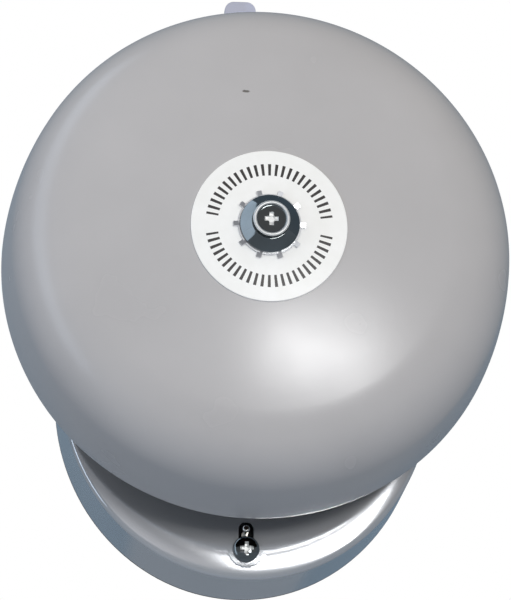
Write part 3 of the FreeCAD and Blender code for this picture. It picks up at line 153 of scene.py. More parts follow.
LAMPS = {
    "key_softbox": {"azimuth": 13, "elevation": -2.4, "far": 1.2, "wide": 0.35, "tall": 0.19,
                    "radiance": 22.0, "code": "#FFFFFF"},
    "key_glow": {"azimuth": 13, "elevation": -2.5, "far": 1.25, "wide": 0.42, "tall": 0.28,
                 "radiance": 1.7, "code": "#FFFFFF"},
    "left_strip": {"azimuth": -71, "elevation": 20, "far": 0.8, "wide": 0.30, "tall": 1.75,
                   "radiance": 2.0, "code": "#C8D6E8", "lean": 12},
}
# The room's colour goes by a direction's height and the screen's by its depth, as shares of
# its length, and both are brightest where it points at ROOM_BRIGHTEST.
ROOM_LOW, ROOM_HIGH = "#8E9CAE", "#FFFAF2"
ROOM_HEIGHTS = (-0.9, 0.5)
ROOM_BRIGHTEST = (-0.17, -0.94, -0.28)
ROOM_FADE_FROM = -0.4
ROOM_STRENGTH = (0.13, 1.19)
SCREEN_FRONT, SCREEN_BACK = "#B4B3B6", "#92ABC0"
SCREEN_DEPTHS = (-0.9, 0.3)
SCREEN_FADE_FROM = 0.93
SCREEN_STRENGTH = (0.55, 2.0)
FLOOR_DROP = 1.8
FLOOR_SIDE = 30.0
FLOOR_CODE = "#DAEAFF"
FLOOR_ROUGHNESS = 0.8


def softbox(name, azimuth, elevation, far, wide, tall, radiance, code, lean=0):
    """A flat lamp that faces the bell, leaning by some degrees."""
    data = bpy.data.lights.new(name, "AREA")
    data.shape = "RECTANGLE"
    data.size, data.size_y = wide, tall
    data.energy = radiance * math.pi * wide * tall
    data.color = shade(code)[:3]
    lamp = bpy.data.objects.new(name, data)
    back = away(azimuth, elevation)
    lamp.location = AIM + back * far
    lamp.rotation_mode = "QUATERNION"
    roll = Quaternion((0, 0, 1), math.radians(lean))
    lamp.rotation_quaternion = (-back).to_track_quat("-Z", "Y") @ roll
    lamp.visible_camera = False
    bpy.context.scene.collection.objects.link(lamp)


def light_room():
    """A pale room, cool below and brightest in front. Paint and metal mirror it as a dim
    screen, and the camera sees plain white behind the bell."""
    world = bpy.data.worlds.new("studio")
    world.use_nodes = True
    bpy.context.scene.world = world
    tree = world.node_tree
    tree.nodes.clear()
    way = put(tree, "TexCoord").outputs["Generated"]
    axes = put(tree, "SeparateXYZ", {"Vector": way})
    facing = put(tree, "VectorMath", {0: way, 1: ROOM_BRIGHTEST}, operation="DOT_PRODUCT")
    skies = []
    for axis, (low, high), codes, fade_from, (dim, bright) in (
            ("Z", ROOM_HEIGHTS, (ROOM_LOW, ROOM_HIGH), ROOM_FADE_FROM, ROOM_STRENGTH),
            ("Y", SCREEN_DEPTHS, (SCREEN_FRONT, SCREEN_BACK), SCREEN_FADE_FROM, SCREEN_STRENGTH)):
        along = put(tree, "MapRange", {
            "Value": axes.outputs[axis], "From Min": low, "From Max": high})
        colour = put(tree, "Mix", {"Factor": along, "A": shade(codes[0]), "B": shade(codes[1])},
                     data_type="RGBA")
        strength = put(tree, "MapRange", {"Value": facing, "From Min": fade_from,
                                          "From Max": 1.0, "To Min": dim, "To Max": bright})
        skies.append(put(tree, "Background", {"Color": colour, "Strength": strength}))
    room, screen = skies
    white = put(tree, "Background", {"Color": (1, 1, 1, 1), "Strength": 1.0})
    rays = put(tree, "LightPath")
    mirrored = put(tree, "Math", {0: rays.outputs["Is Glossy Ray"],
                                  1: rays.outputs["Is Transmission Ray"]}, operation="ADD")
    lit = put(tree, "MixShader", {0: mirrored, 1: room, 2: screen})
    seen = put(tree, "MixShader", {0: rays.outputs["Is Camera Ray"], 1: lit, 2: white})
    put(tree, "OutputWorld", {"Surface": seen})


def lay_floor():
    """A plain pale floor, far enough down to leave views from below free."""
    bpy.ops.mesh.primitive_plane_add(size=FLOOR_SIDE, location=(0, 0, -FLOOR_DROP))
    floor = bpy.context.object
    floor.name = "studio_floor"
    matt = bpy.data.materials.new("pale floor paint")
    matt.use_nodes = True
    wire(matt.node_tree, matt.node_tree.nodes["Principled BSDF"],
         {"Base Color": shade(FLOOR_CODE), "Roughness": FLOOR_ROUGHNESS})
    floor.data.materials.append(matt)


# Finishes. Flake, marks and grain are finer on the real bell, and drawn as coarse as they need
# to be to show.

# The range that noise rarely leaves, and how wide its lumps are
NOISE_LOW, NOISE_HIGH = 0.3, 0.7
PAINT_CLOUD = 30
PAINT_FLAKE = 0.5
ORANGE_PEEL = 2.2
PLATE_CLOUD = 6
PLATE_MARKS = 0.4
PLASTIC_CLOUD = 9
PLASTIC_GRAIN = 0.6
LACQUER_CLOUD = 5
LACQUER_GRAIN = 0.5
COTTON_THREAD = 0.35

# Where the metal flake shows, and by how much it deepens the paint
FLAKE_LOW, FLAKE_HIGH = 0.25, 0.75
FLAKE_TONE = 0.10
ENAMEL_IOR = 1.5

# The chip in the gong's paint: its place, its half width and half height, and the coat under
# it. Its edge runs between two distances from its middle, in half widths and noise.
CHIP_X, CHIP_UP = -6.7, 42.3
CHIP_HALF_WIDE, CHIP_HALF_TALL = 1.1, 0.45
CHIP_WITHIN, CHIP_BEYOND = 1.3, 1.6
CHIP_DEEP = 0.04
CHIP_CODE = "#6F6C69"

# Where plating turns dull, and the range of its marks times its clouds
DULL_FROM = 0.35
MARKS_LOW, MARKS_HIGH = 0.1, 0.45
MATT_SPREAD = 0.06

# The disc's print: bars round it, the share of their pitch that is dark, the radii between
# which they stand, and the sine up to which both sides of the disc stay free of them
BARS = 54
BAR_SHARE = 0.42
PRINT_INNER = 15.2
PRINT_OUTER = 18.8
PRINT_GAP = 0.16
PRINT_CODE = "#3A3736"
PRINT_RELIEF = 0.015
LACQUER_CODE, LACQUER_DEEP_CODE = "#F8F8F7", "#F4F4F2"
LACQUER_GLOSS = (0.32, 0.40)

# The coil's tape. A wave texture of scale 1 repeats every tenth of a half turn.
TAPE_PITCH = 7.0
TAPE_LAP = 0.15
THREAD_RELIEF = 0.03
TAPE_GLOSS = (0.35, 0.6)
WAVE_REPEAT = math.pi / 10


def new_finish(name):
    """A new material's tree, its shader and the place on the object."""
    material = bpy.data.materials.new(name)
    material.use_nodes = True
    tree = material.node_tree
    at = put(tree, "TexCoord").outputs["Object"]
    return material, tree, tree.nodes["Principled BSDF"], at


def stove_enamel(name, code, deep_code, roughness, orange_peel, flake=0.0, chipped=False):
    """Sprayed and baked silver-grey enamel: an even satin film with a faint orange peel,
    slightly cloudy where the spray lay thicker. Fine metal flake deepens its shadows. A
    chip shows the darker coat under it."""
    material, tree, shader, at = new_finish(name)
    cloud = put(tree, "TexNoise", {"Vector": at, "Scale": per(PAINT_CLOUD), "Detail": 3.0})
    fleck = put(tree, "TexNoise", {"Vector": at, "Scale": per(PAINT_FLAKE), "Detail": 1.0})
    peel = put(tree, "TexNoise", {"Vector": at, "Scale": per(ORANGE_PEEL), "Detail": 1.0})
    thick = put(tree, "MapRange", {"Value": cloud, "From Min": NOISE_LOW, "From Max": NOISE_HIGH})
    film = put(tree, "Mix", {"Factor": thick, "A": shade(code), "B": shade(deep_code)},
               data_type="RGBA")
    speck = put(tree, "MapRange", {"Value": fleck, "From Min": FLAKE_LOW, "From Max": FLAKE_HIGH,
                                   "To Min": 0.0, "To Max": FLAKE_TONE})
    film = put(tree, "Mix", {"Factor": speck, "A": film, "B": shade(deep_code)}, data_type="RGBA")
    relief = put(tree, "Bump", {"Height": peel, "Distance": orange_peel * MM, "Strength": 1.0})
    if chipped:
        local = put(tree, "Mapping", {
            "Vector": at, "Location": (CHIP_X * MM, 0, CHIP_UP * MM),
            "Scale": (CHIP_HALF_WIDE * MM, 1, CHIP_HALF_TALL * MM)}, vector_type="TEXTURE")
        flat = put(tree, "VectorMath", {0: local, 1: (1, 0, 1)}, operation="MULTIPLY")
        off = put(tree, "VectorMath", {0: flat}, operation="LENGTH")
        ragged = put(tree, "Math", {0: off, 1: fleck}, operation="ADD")
        missing = put(tree, "MapRange", {
            "Value": ragged, "From Min": CHIP_BEYOND, "From Max": CHIP_WITHIN})
        film = put(tree, "Mix", {"Factor": missing, "A": film, "B": shade(CHIP_CODE)},
                   data_type="RGBA")
        relief = put(tree, "Bump", {"Height": missing, "Distance": -CHIP_DEEP * MM,
                                    "Strength": 1.0, "Normal": relief})
    gloss = put(tree, "MapRange", {"Value": cloud, "From Min": NOISE_LOW, "From Max": NOISE_HIGH,
                                   "To Min": roughness[0], "To Max": roughness[1]})
    wire(tree, shader, {"Base Color": film, "Roughness": gloss, "Normal": relief,
                        "IOR": ENAMEL_IOR, "Metallic": flake})
    return material


def plated(name, code, dull_code, roughness, marks_wide=PLATE_MARKS, relief=0.004):
    """Bright plating on turned or pressed metal: a metal mirror made soft by fine marks,
    a little cloudy in places."""
    material, tree, shader, at = new_finish(name)
    cloud = put(tree, "TexNoise", {"Vector": at, "Scale": per(PLATE_CLOUD), "Detail": 3.0})
    marks = put(tree, "TexNoise", {"Vector": at, "Scale": per(marks_wide), "Detail": 2.0})
    dull = put(tree, "MapRange", {"Value": cloud, "From Min": DULL_FROM, "From Max": NOISE_HIGH})
    skin = put(tree, "Mix", {"Factor": dull, "A": shade(code), "B": shade(dull_code)},
               data_type="RGBA")
    both = put(tree, "Math", {0: cloud, 1: marks}, operation="MULTIPLY")
    gloss = put(tree, "MapRange", {"Value": both, "From Min": MARKS_LOW, "From Max": MARKS_HIGH,
                                   "To Min": roughness[0], "To Max": roughness[1]})
    bump = put(tree, "Bump", {"Height": marks, "Distance": relief * MM, "Strength": 1.0})
    wire(tree, shader, {"Base Color": skin, "Roughness": gloss, "Normal": bump, "Metallic": 1.0})
    return material


def moulded(name, code, deep_code, roughness, relief):
    """Moulded rubber, fibre or plastic: one deep colour, a fine matt skin and a little
    unevenness of tone."""
    material, tree, shader, at = new_finish(name)
    cloud = put(tree, "TexNoise", {"Vector": at, "Scale": per(PLASTIC_CLOUD), "Detail": 3.0})
    grain = put(tree, "TexNoise", {"Vector": at, "Scale": per(PLASTIC_GRAIN), "Detail": 2.0})
    deep = put(tree, "MapRange", {"Value": cloud, "From Min": NOISE_LOW, "From Max": NOISE_HIGH})
    skin = put(tree, "Mix", {"Factor": deep, "A": shade(code), "B": shade(deep_code)},
               data_type="RGBA")
    gloss = put(tree, "MapRange", {
        "Value": grain, "From Min": NOISE_LOW, "From Max": NOISE_HIGH,
        "To Min": roughness - MATT_SPREAD, "To Max": roughness + MATT_SPREAD})
    bump = put(tree, "Bump", {"Height": grain, "Distance": relief * MM, "Strength": 1.0})
    wire(tree, shader, {"Base Color": skin, "Roughness": gloss, "Normal": bump})
    return material


def printed_disc(name):
    """White lacquered aluminium disc with dark printed marks: two plain arcs of bars like
    a scale."""
    material, tree, shader, at = new_finish(name)
    axes = put(tree, "SeparateXYZ", {"Vector": at})
    across, up = axes.outputs["X"], axes.outputs["Z"]
    flat = put(tree, "CombineXYZ", {"X": across, "Y": up})
    far = put(tree, "VectorMath", {0: flat}, operation="LENGTH")
    turn = put(tree, "Math", {0: up, 1: across}, operation="ARCTAN2")
    pitches = put(tree, "Math", {0: turn, 1: BARS / math.tau}, operation="MULTIPLY")
    part = put(tree, "Math", {0: pitches}, operation="FRACT")
    off = put(tree, "Math", {0: part, 1: 0.5}, operation="SUBTRACT")
    beside = put(tree, "Math", {0: off}, operation="ABSOLUTE")
    level = put(tree, "Math", {0: up, 1: far}, operation="DIVIDE")
    steep = put(tree, "Math", {0: level}, operation="ABSOLUTE")
    mark = put(tree, "Math", {0: beside, 1: BAR_SHARE / 2}, operation="LESS_THAN")
    for value, limit, operation in ((far, PRINT_INNER * MM, "GREATER_THAN"),
                                    (far, PRINT_OUTER * MM, "LESS_THAN"),
                                    (steep, PRINT_GAP, "GREATER_THAN")):
        mask = put(tree, "Math", {0: value, 1: limit}, operation=operation)
        mark = put(tree, "Math", {0: mark, 1: mask}, operation="MULTIPLY")
    cloud = put(tree, "TexNoise", {"Vector": at, "Scale": per(LACQUER_CLOUD), "Detail": 2.0})
    deep = put(tree, "MapRange", {"Value": cloud, "From Min": NOISE_LOW, "From Max": NOISE_HIGH})
    white = put(tree, "Mix", {"Factor": deep, "A": shade(LACQUER_CODE),
                              "B": shade(LACQUER_DEEP_CODE)}, data_type="RGBA")
    printed = put(tree, "Mix", {"Factor": mark, "A": white, "B": shade(PRINT_CODE)},
                  data_type="RGBA")
    grain = put(tree, "TexNoise", {"Vector": at, "Scale": per(LACQUER_GRAIN), "Detail": 2.0})
    gloss = put(tree, "MapRange", {"Value": grain, "From Min": NOISE_LOW, "From Max": NOISE_HIGH,
                                   "To Min": LACQUER_GLOSS[0], "To Max": LACQUER_GLOSS[1]})
    bump = put(tree, "Bump", {"Height": mark, "Distance": PRINT_RELIEF * MM, "Strength": 1.0})
    wire(tree, shader, {"Base Color": printed, "Roughness": gloss, "Normal": bump})
    return material


def taped(name, code, deep_code):
    """Varnished cotton tape wound on a coil: overlapping turns with a sheen."""
    material, tree, shader, at = new_finish(name)
    turns = put(tree, "TexWave", {"Vector": at, "Scale": WAVE_REPEAT * per(TAPE_PITCH),
                                  "Distortion": 0.4, "Detail": 1.0},
                bands_direction="Z", wave_profile="SAW").outputs["Fac"]
    cloth = put(tree, "TexNoise", {"Vector": at, "Scale": per(COTTON_THREAD), "Detail": 1.0})
    tape = put(tree, "Mix", {"Factor": turns, "A": shade(code), "B": shade(deep_code)},
               data_type="RGBA")
    gloss = put(tree, "MapRange", {"Value": cloth, "From Min": NOISE_LOW, "From Max": NOISE_HIGH,
                                   "To Min": TAPE_GLOSS[0], "To Max": TAPE_GLOSS[1]})
    lap = put(tree, "Bump", {"Height": turns, "Distance": TAPE_LAP * MM, "Strength": 1.0})
    weave = put(tree, "Bump", {"Height": cloth, "Distance": THREAD_RELIEF * MM,
                               "Strength": 1.0, "Normal": lap})
    wire(tree, shader, {"Base Color": tape, "Roughness": gloss, "Normal": weave})
    return material


finishes = {
    # A smooth, even silver grey with broad, soft highlights
    "gong_paint": stove_enamel(
        "satin silver enamel", "#BAB8B9", "#B5B3B4", (0.23, 0.28), 0.008, chipped=True),
    # The same silver with more flake and gloss: crisp highlights, dark mirrored bands
    "case_paint": stove_enamel(
        "glossy silver enamel", "#CACCCF", "#C5C7CA", (0.09, 0.13), 0.002, 0.6),
    # Clean white with crisp dark bars
    "white_print": printed_disc("printed white lacquer"),
    # A dark mirror, almost black where nothing bright faces it
    "black_chrome": plated(
        "dark chromium plate", "#7E8384", "#747979", (0.06, 0.09), 0.3, 0.001),
    # A warm, bright mirror
    "bright_nickel": plated("polished nickel", "#DCD9D2", "#CFCBC3", (0.10, 0.18), 0.3, 0.001),
    # A soft sheen with a trace of blue
    "zinc_plate": plated("bright zinc plate", "#E6E9FA", "#D9DDF1", (0.32, 0.45)),
    # Dull grey with fine grinding marks
    "soft_iron": plated("ground soft iron", "#A6A6A8", "#949496", (0.35, 0.5)),
    # A grey mirror with a fine grain
    "spring_steel": plated(
        "polished spring steel", "#BCBDC0", "#A9ABB0", (0.18, 0.28), 0.3, 0.002),
    # Reddish gold with a rolled gloss
    "spring_bronze": plated(
        "rolled phosphor bronze", "#DDB48C", "#CFA079", (0.2, 0.3), 0.3, 0.002),
    # Yellow gold with fine turning marks
    "brass": plated("turned brass", "#E3C78D", "#D3B478", (0.18, 0.28), 0.3, 0.002),
    # Dark brown, lapped and varnished
    "coil_tape": taped("varnished cotton tape", "#6B4A33", "#4F3323"),
    # Milky off-white with a soft gloss
    "bobbin_nylon": moulded("moulded natural nylon", "#E8E4D8", "#DED8C8", 0.42, 0.006),
    # Near black and glossy from the mould
    "phenolic": moulded("moulded black phenolic", "#2C2A28", "#232120", 0.24, 0.004),
    # Dull brick red, like hard paper
    "fibre": moulded("red vulcanised fibre", "#9C4B38", "#8A3F2F", 0.6, 0.02),
    # Matt black that takes almost no highlight
    "black_rubber": moulded("moulded black rubber", "#2B2B2B", "#232323", 0.62, 0.012),
    # Strong red with a soft gloss
    "red_lead": moulded("red cable insulation", "#B8362C", "#A82F26", 0.42, 0.004),
    # Black with a soft gloss
    "black_lead": moulded("black cable insulation", "#2A2A2A", "#222222", 0.42, 0.004),
    # Amber with a glassy coat
    "capsule": moulded("dipped amber resin", "#B8762F", "#A86A28", 0.25, 0.01),
    # Pale silver with a soft gloss
    "tinned_wire": plated("tinned copper wire", "#D2D0CC", "#C2BFBA", (0.22, 0.32)),
}
# Dark brown matt finish on the gong's inside faces, which darkens what the case mirrors
inside_brown = moulded("dark brown inside the gong", "#563522", "#482B1C", 0.5, 0.004)
# Near-white rough metal where drivers have turned, brightened as a painted glint on the screws'
# recesses and rims
worn_and_glint = plated("scuffed recess with painted glint", "#F2F2F0", "#E6E6E4", (0.5, 0.6), 0.25, 0.002)
# Zinc that has paled, without its blue
pale_zinc = plated("pale zinc washer", "#DADBDD", "#CFD0D3", (0.3, 0.42))

# Modelling. A round or oval piece is one circle, extruded and resized from ring to ring.

WELD = 0.001
SMOOTH_BELOW = 35


def select_only(piece):
    bpy.ops.object.select_all(action="DESELECT")
    piece.select_set(True)
    bpy.context.view_layer.objects.active = piece


def start_edit(piece):
    """Only this piece is selected, and open for editing."""
    select_only(piece)
    bpy.ops.object.mode_set(mode="EDIT")


def settle(piece, name):
    """The object is left at the origin, unturned, with its place in its mesh."""
    select_only(piece)
    bpy.ops.object.transform_apply(location=True, rotation=True, scale=True)
    piece.name = name
    piece.data.name = name
    return piece


def smooth(piece):
    select_only(piece)
    bpy.ops.object.shade_smooth_by_angle(angle=math.radians(SMOOTH_BELOW))


def ringed(name, rings, steps, capped=False):
    """A piece through rings of (half wide, half tall, middle x, middle up, out). It is
    closed by flat caps, or else its last ring meets its first."""
    wide, tall, x, up, out = rings[0]
    bpy.ops.mesh.primitive_circle_add(
        vertices=steps, radius=MM, fill_type="NGON" if capped else "NOTHING",
        location=(x * MM, -out * MM, up * MM), rotation=(math.pi / 2, 0, 0), scale=(1, 1, 1))
    piece = settle(bpy.context.object, name)
    start_edit(piece)
    bpy.ops.mesh.select_all(action="SELECT")
    bpy.ops.transform.resize(value=(wide, 1, tall),
                             center_override=(x * MM, -out * MM, up * MM))
    for new_wide, new_tall, new_x, new_up, new_out in rings[1:]:
        move = ((new_x - x) * MM, (out - new_out) * MM, (new_up - up) * MM)
        bpy.ops.mesh.extrude_region_move(TRANSFORM_OT_translate={"value": move})
        x, up, out = new_x, new_up, new_out
        bpy.ops.transform.resize(value=(new_wide / wide, 1, new_tall / tall),
                                 center_override=(x * MM, -out * MM, up * MM))
        wide, tall = new_wide, new_tall
    bpy.ops.mesh.select_all(action="SELECT")
    bpy.ops.mesh.remove_doubles(threshold=WELD * MM)
    bpy.ops.mesh.normals_make_consistent(inside=False)
    bpy.ops.object.mode_set(mode="OBJECT")
    smooth(piece)
    return piece


def turned(name, profile, steps=96, at=(0, 0), capped=False):
    """A round piece through (radius, out) points, about an axis that points out at (x, up)."""
    rings = [(radius, radius, at[0], at[1], out) for radius, out in profile]
    return ringed(name, rings if capped else rings + rings[:1], steps, capped)


def arc(middle, radius, first, last, steps):
    """Points of an arc, as (radius, out): angles run from straight sideways to straight out."""
    angles = [first + (last - first) * step / steps for step in range(steps + 1)]
    return [(middle[0] + radius * math.cos(a), middle[1] + radius * math.sin(a))
            for a in angles]


def softened(corners, steps=4):
    """A closed profile of (radius, out, rounding) corners, with its corners rounded."""
    points = []
    for index, (x, y, rounding) in enumerate(corners):
        here = Vector((x, y))
        before = (Vector(corners[index - 1][:2]) - here).normalized()
        after = (Vector(corners[(index + 1) % len(corners)][:2]) - here).normalized()
        half = before.angle(after) / 2
        middle = here + (before + after).normalized() * rounding / math.sin(half)
        reach = rounding / math.tan(half)
        first = here + before * reach - middle
        last = here + after * reach - middle
        turn = first.angle_signed(last)
        for step in range(steps + 1):
            spoke = first.copy()
            spoke.rotate(Matrix.Rotation(-turn * step / steps, 2))
            points.append(tuple(middle + spoke))
    return points


def block(x, out, up):
    """A square cutter between these low and high sides."""
    sides = (x, (-out[1], -out[0]), up)
    bpy.ops.mesh.primitive_cube_add(
        size=1, location=[(low + high) / 2 * MM for low, high in sides],
        scale=[(high - low) * MM for low, high in sides])
    return settle(bpy.context.object, "block")


def rod(radius, out, x, up, steps=64, end_radius=None):
    """A round cutter, straight or tapered, from one out to another."""
    end = radius if end_radius is None else end_radius
    return ringed("rod", [(radius, radius, x, up, out[0]), (end, end, x, up, out[1])],
                  steps, True)


def carve(piece, tool, operation="DIFFERENCE"):
    """Cut one piece with another, or join them, and drop the tool."""
    select_only(piece)
    modifier = piece.modifiers.new("carve", "BOOLEAN")
    modifier.operation = operation
    modifier.solver = "EXACT"
    modifier.material_mode = "TRANSFER"
    modifier.object = tool
    bpy.ops.object.modifier_apply(modifier=modifier.name)
    bpy.data.objects.remove(tool)
    return piece


def ease_edges(piece, width, sharper_than=40):
    """Round every sharp edge a little, as tumbling, plating or paint leaves it."""
    select_only(piece)
    modifier = piece.modifiers.new("edges", "BEVEL")
    modifier.width = width * MM
    modifier.segments = 2
    modifier.limit_method = "ANGLE"
    modifier.angle_limit = math.radians(sharper_than)
    modifier.use_clamp_overlap = True
    bpy.ops.object.modifier_apply(modifier=modifier.name)
    smooth(piece)
    weighted = piece.modifiers.new("normals", "WEIGHTED_NORMAL")
    weighted.keep_sharp = True
    bpy.ops.object.modifier_apply(modifier=weighted.name)


def select_faces(piece, chosen):
    """Open a piece with only the faces selected whose middle, in mm, and normal pass a test."""
    start_edit(piece)
    bpy.ops.mesh.select_all(action="DESELECT")
    bpy.ops.object.mode_set(mode="OBJECT")
    for face in piece.data.polygons:
        face.select = chosen(face.center / MM, face.normal)
    start_edit(piece)


def repaint(piece, finish, chosen):
    """Give another finish to the faces that pass a test."""
    piece.data.materials.append(finish)
    select_faces(piece, chosen)
    piece.active_material_index = len(piece.data.materials) - 1
    bpy.ops.object.material_slot_assign()
    bpy.ops.object.mode_set(mode="OBJECT")


def paint(piece, finish):
    piece.data.materials.clear()
    piece.data.materials.append(finish)


def fit(piece, node_name, body="frame", keep_paint=False):
    """The piece stands for a node, rides on its body and takes its finish."""
    slot = slots[node_name]
    if not keep_paint:
        paint(piece, finishes[slot])
    if body:
        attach(piece, body)
    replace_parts(piece, node_name)
    return piece


def size_of(node_name):
    """A node's half width, half height, middle x and up, and its low and high out."""
    low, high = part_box(node_name)
    return ((high.x - low.x) / 2 / MM, (high.z - low.z) / 2 / MM, (high.x + low.x) / 2 / MM,
            (high.z + low.z) / 2 / MM, -high.y / MM, -low.y / MM)


for name, item in nodes.items():
    paint(item, finishes[slots[name]])
place_camera()
for name, lamp in LAMPS.items():
    softbox(name, **lamp)
light_room()
lay_floor()

# Gong: a flat crown, a wide bend that eases into the shoulder, and a skirt down to the rim

CROWN_R = 250.0
BEND_R = 45.0
BEND_FROM = 54.0
SHOULDER_R = 20.0
SKIRT_R = 188.0
GONG_WALL = 1.8
GONG_HOLE_R = 3.2
LIP_R = 0.7
GONG_STEPS = 256
CROWN_STEPS, BEND_STEPS, SHOULDER_STEPS, SKIRT_STEPS, LIP_STEPS = 30, 12, 18, 14, 5
HALVINGS = 60
STEEPEST_BEND = math.radians(80)
HOLLOW_ABOVE_RIM = 5.0

rim_r, _, _, _, rim_out, crown_out = size_of("gong")
crown_middle = Vector((0, crown_out - CROWN_R))
skirt_middle = Vector((rim_r - SKIRT_R, rim_out))


def bend_points():
    """The middles of the bend's and the shoulder's arcs, and the turns from straight out at
    which the bend starts and ends, found by halving. The bend leaves the crown at
    BEND_FROM, and the shoulder runs into the skirt."""
    lean = math.asin(BEND_FROM / CROWN_R)
    leaning = Vector((math.sin(lean), math.cos(lean)))
    bend_middle = crown_middle + (CROWN_R - BEND_R) * leaning
    low, high = lean, STEEPEST_BEND
    for _ in range(HALVINGS):
        end = (low + high) / 2
        shoulder = bend_middle + (BEND_R - SHOULDER_R) * Vector((math.sin(end), math.cos(end)))
        if (shoulder - skirt_middle).length > SKIRT_R - SHOULDER_R:
            high = end
        else:
            low = end
    return bend_middle, shoulder, lean, end


def gong_profile():
    """The wall's outline: crown, bend, shoulder and skirt outside, the lip, and back inside."""
    bend_middle, shoulder, lean, bend_end = bend_points()
    to_skirt = shoulder - skirt_middle
    skirt_end = math.atan2(to_skirt.y, to_skirt.x)
    sides = []
    for wall, hole_r in ((0, GONG_HOLE_R + LIP_R), (GONG_WALL, GONG_HOLE_R)):
        crown_end = math.acos(hole_r / (CROWN_R - wall))
        bend_start, bend_stop = math.pi / 2 - lean, math.pi / 2 - bend_end
        side = arc(crown_middle, CROWN_R - wall, crown_end, bend_start, CROWN_STEPS)
        side += arc(bend_middle, BEND_R - wall, bend_start, bend_stop, BEND_STEPS)[1:]
        side += arc(shoulder, SHOULDER_R - wall, bend_stop, skirt_end, SHOULDER_STEPS)[1:]
        side += arc(skirt_middle, SKIRT_R - wall, skirt_end, LIP_R / (SKIRT_R - wall),
                    SKIRT_STEPS)[1:]
        sides.append(side)
    outside, inside = sides
    lip_out = rim_out + LIP_R
    lip = arc((rim_r - LIP_R, lip_out), LIP_R, 0, -math.pi / 2, LIP_STEPS)[1:]
    lip += arc((rim_r - GONG_WALL + LIP_R, lip_out), LIP_R, -math.pi / 2, -math.pi, LIP_STEPS)
    return outside + lip + inside[::-1][1:]


def faces_hollow(at, normal):
    """True for faces that look at the middle of the gong's mouth."""
    return normal.dot(Vector((0, -rim_out - HOLLOW_ABOVE_RIM, 0)) - at) > 0


gong = turned("gong_shell", gong_profile(), GONG_STEPS)
fit(gong, "gong")
# The gong's inside faces are coloured dark brown, which darkens what the case mirrors
repaint(gong, inside_brown, faces_hollow)

# Printed disc: a thin sheet that follows the crown, with a rounded edge

DISC_THICK = 0.4
DISC_HOLE_R = 3.4
DISC_EDGE_R = 0.12
DISC_RINGS = 16
DISC_STEPS = 192


def on_crown(radius, lift):
    """How far out a sheet stands that follows the crown at this lift."""
    return crown_middle.y + math.sqrt((CROWN_R + lift) ** 2 - radius ** 2)


def disc_profile():
    disc_r, _, _, _, _, disc_out = size_of("gong_label")
    top = disc_out - on_crown(DISC_HOLE_R, 0)
    under = top - DISC_THICK
    flat = disc_r - DISC_EDGE_R - DISC_HOLE_R
    radii = [DISC_HOLE_R + flat * step / DISC_RINGS for step in range(DISC_RINGS + 1)]
    edge = [(disc_r, on_crown(disc_r, top) - DISC_EDGE_R), (disc_r, on_crown(disc_r, under))]
    return ([(radius, on_crown(radius, top)) for radius in radii] + edge
            + [(radius, on_crown(radius, under)) for radius in reversed(radii)])


fit(turned("printed_disc", disc_profile(), DISC_STEPS), "gong_label")

# Cover: an oval pressed dish. Its front is crowned in a band at the edge, the brow, and turns
# into the wall in a small corner.

COVER_WALL = 1.2
BROW_INSET = 8.6
BROW_R = 36.0
CORNER_R = 1.7
WALL_RINGS = (0, 6, 14)
FLAT_RING = 8
COVER_STEPS = 192
CORNER_STEPS, BROW_STEPS, INNER_BROW_STEPS, INNER_CORNER_STEPS = 8, 14, 8, 6
SLOPE_ROUNDS = 20
COVER_EDGE = 0.25
cover_wide, cover_tall, _, cover_up, cover_low, cover_out = size_of("case_cover")
cover_top = cover_up + cover_tall


def cover_rings():
    """Rings of the cover's inside from the middle of its front to the wall, and of its
    outside back from the wall. Each round comes nearer to the slope at which the brow
    meets the corner."""
    slope = 0.0
    for _ in range(SLOPE_ROUNDS):
        slope = math.asin((BROW_INSET - CORNER_R * (1 - math.sin(slope))) / BROW_R)
    corner_low = cover_out - BROW_R * (1 - math.cos(slope)) - CORNER_R * math.cos(slope)
    corner_turn = math.pi / 2 - slope

    outside = [(0.0, cover_low + rise) for rise in WALL_RINGS]
    for step in range(CORNER_STEPS + 1):
        turn = corner_turn * step / CORNER_STEPS
        outside.append((CORNER_R * (1 - math.cos(turn)), corner_low + CORNER_R * math.sin(turn)))
    for step in range(1, BROW_STEPS + 1):
        turn = slope * (1 - step / BROW_STEPS)
        outside.append((BROW_INSET - BROW_R * math.sin(turn),
                        cover_out - BROW_R * (1 - math.cos(turn))))
    outside.append((BROW_INSET + FLAT_RING, cover_out))

    inner_corner_r, inner_brow_r = CORNER_R - COVER_WALL, BROW_R - COVER_WALL
    inside = [(BROW_INSET + FLAT_RING, cover_out - COVER_WALL)]
    for step in range(INNER_BROW_STEPS + 1):
        turn = slope * step / INNER_BROW_STEPS
        inside.append((BROW_INSET - inner_brow_r * math.sin(turn),
                       cover_out - BROW_R + inner_brow_r * math.cos(turn)))
    for step in range(1, INNER_CORNER_STEPS + 1):
        turn = corner_turn * (1 - step / INNER_CORNER_STEPS)
        inside.append((COVER_WALL + inner_corner_r * (1 - math.cos(turn)),
                       corner_low + inner_corner_r * math.sin(turn)))
    inside.append((COVER_WALL, cover_low))
    return [(cover_wide - inset, cover_tall - inset, 0, cover_up, out)
            for inset, out in inside + outside]


cover = ringed("cover_shell", cover_rings(), COVER_STEPS, True)

# The cover has a seat pressed up round its screw, and holes for the pillar, the screw with
# its key, the striker's rod at both its limits, and the back plate's tongue and lug

SEAT_R = 5.3
SEAT_FLARE = 0.5
PILLAR_HOLE_R = 8.86
KEYHOLE_WIDE = 4.6
KEYHOLE_RISE = 6.3
ROD_R = 1.25
ROD_X = 36.0
ROD_UP = -34.1
ROD_DROP = 2.135
ROD_MARGIN = 1.3
TONGUE_WIDE = 8.0
TONGUE_OUT = 6.0
TONGUE_THICK = 1.2
LUG_WIDE = 9.8
PLATE_THICK = 2.0
FIT_GAP = 0.3
CUT_OVER = 2.0
CUT_DEEP = 5.0
SEAT_STEPS, PILLAR_STEPS, KEYHOLE_STEPS = 64, 96, 48


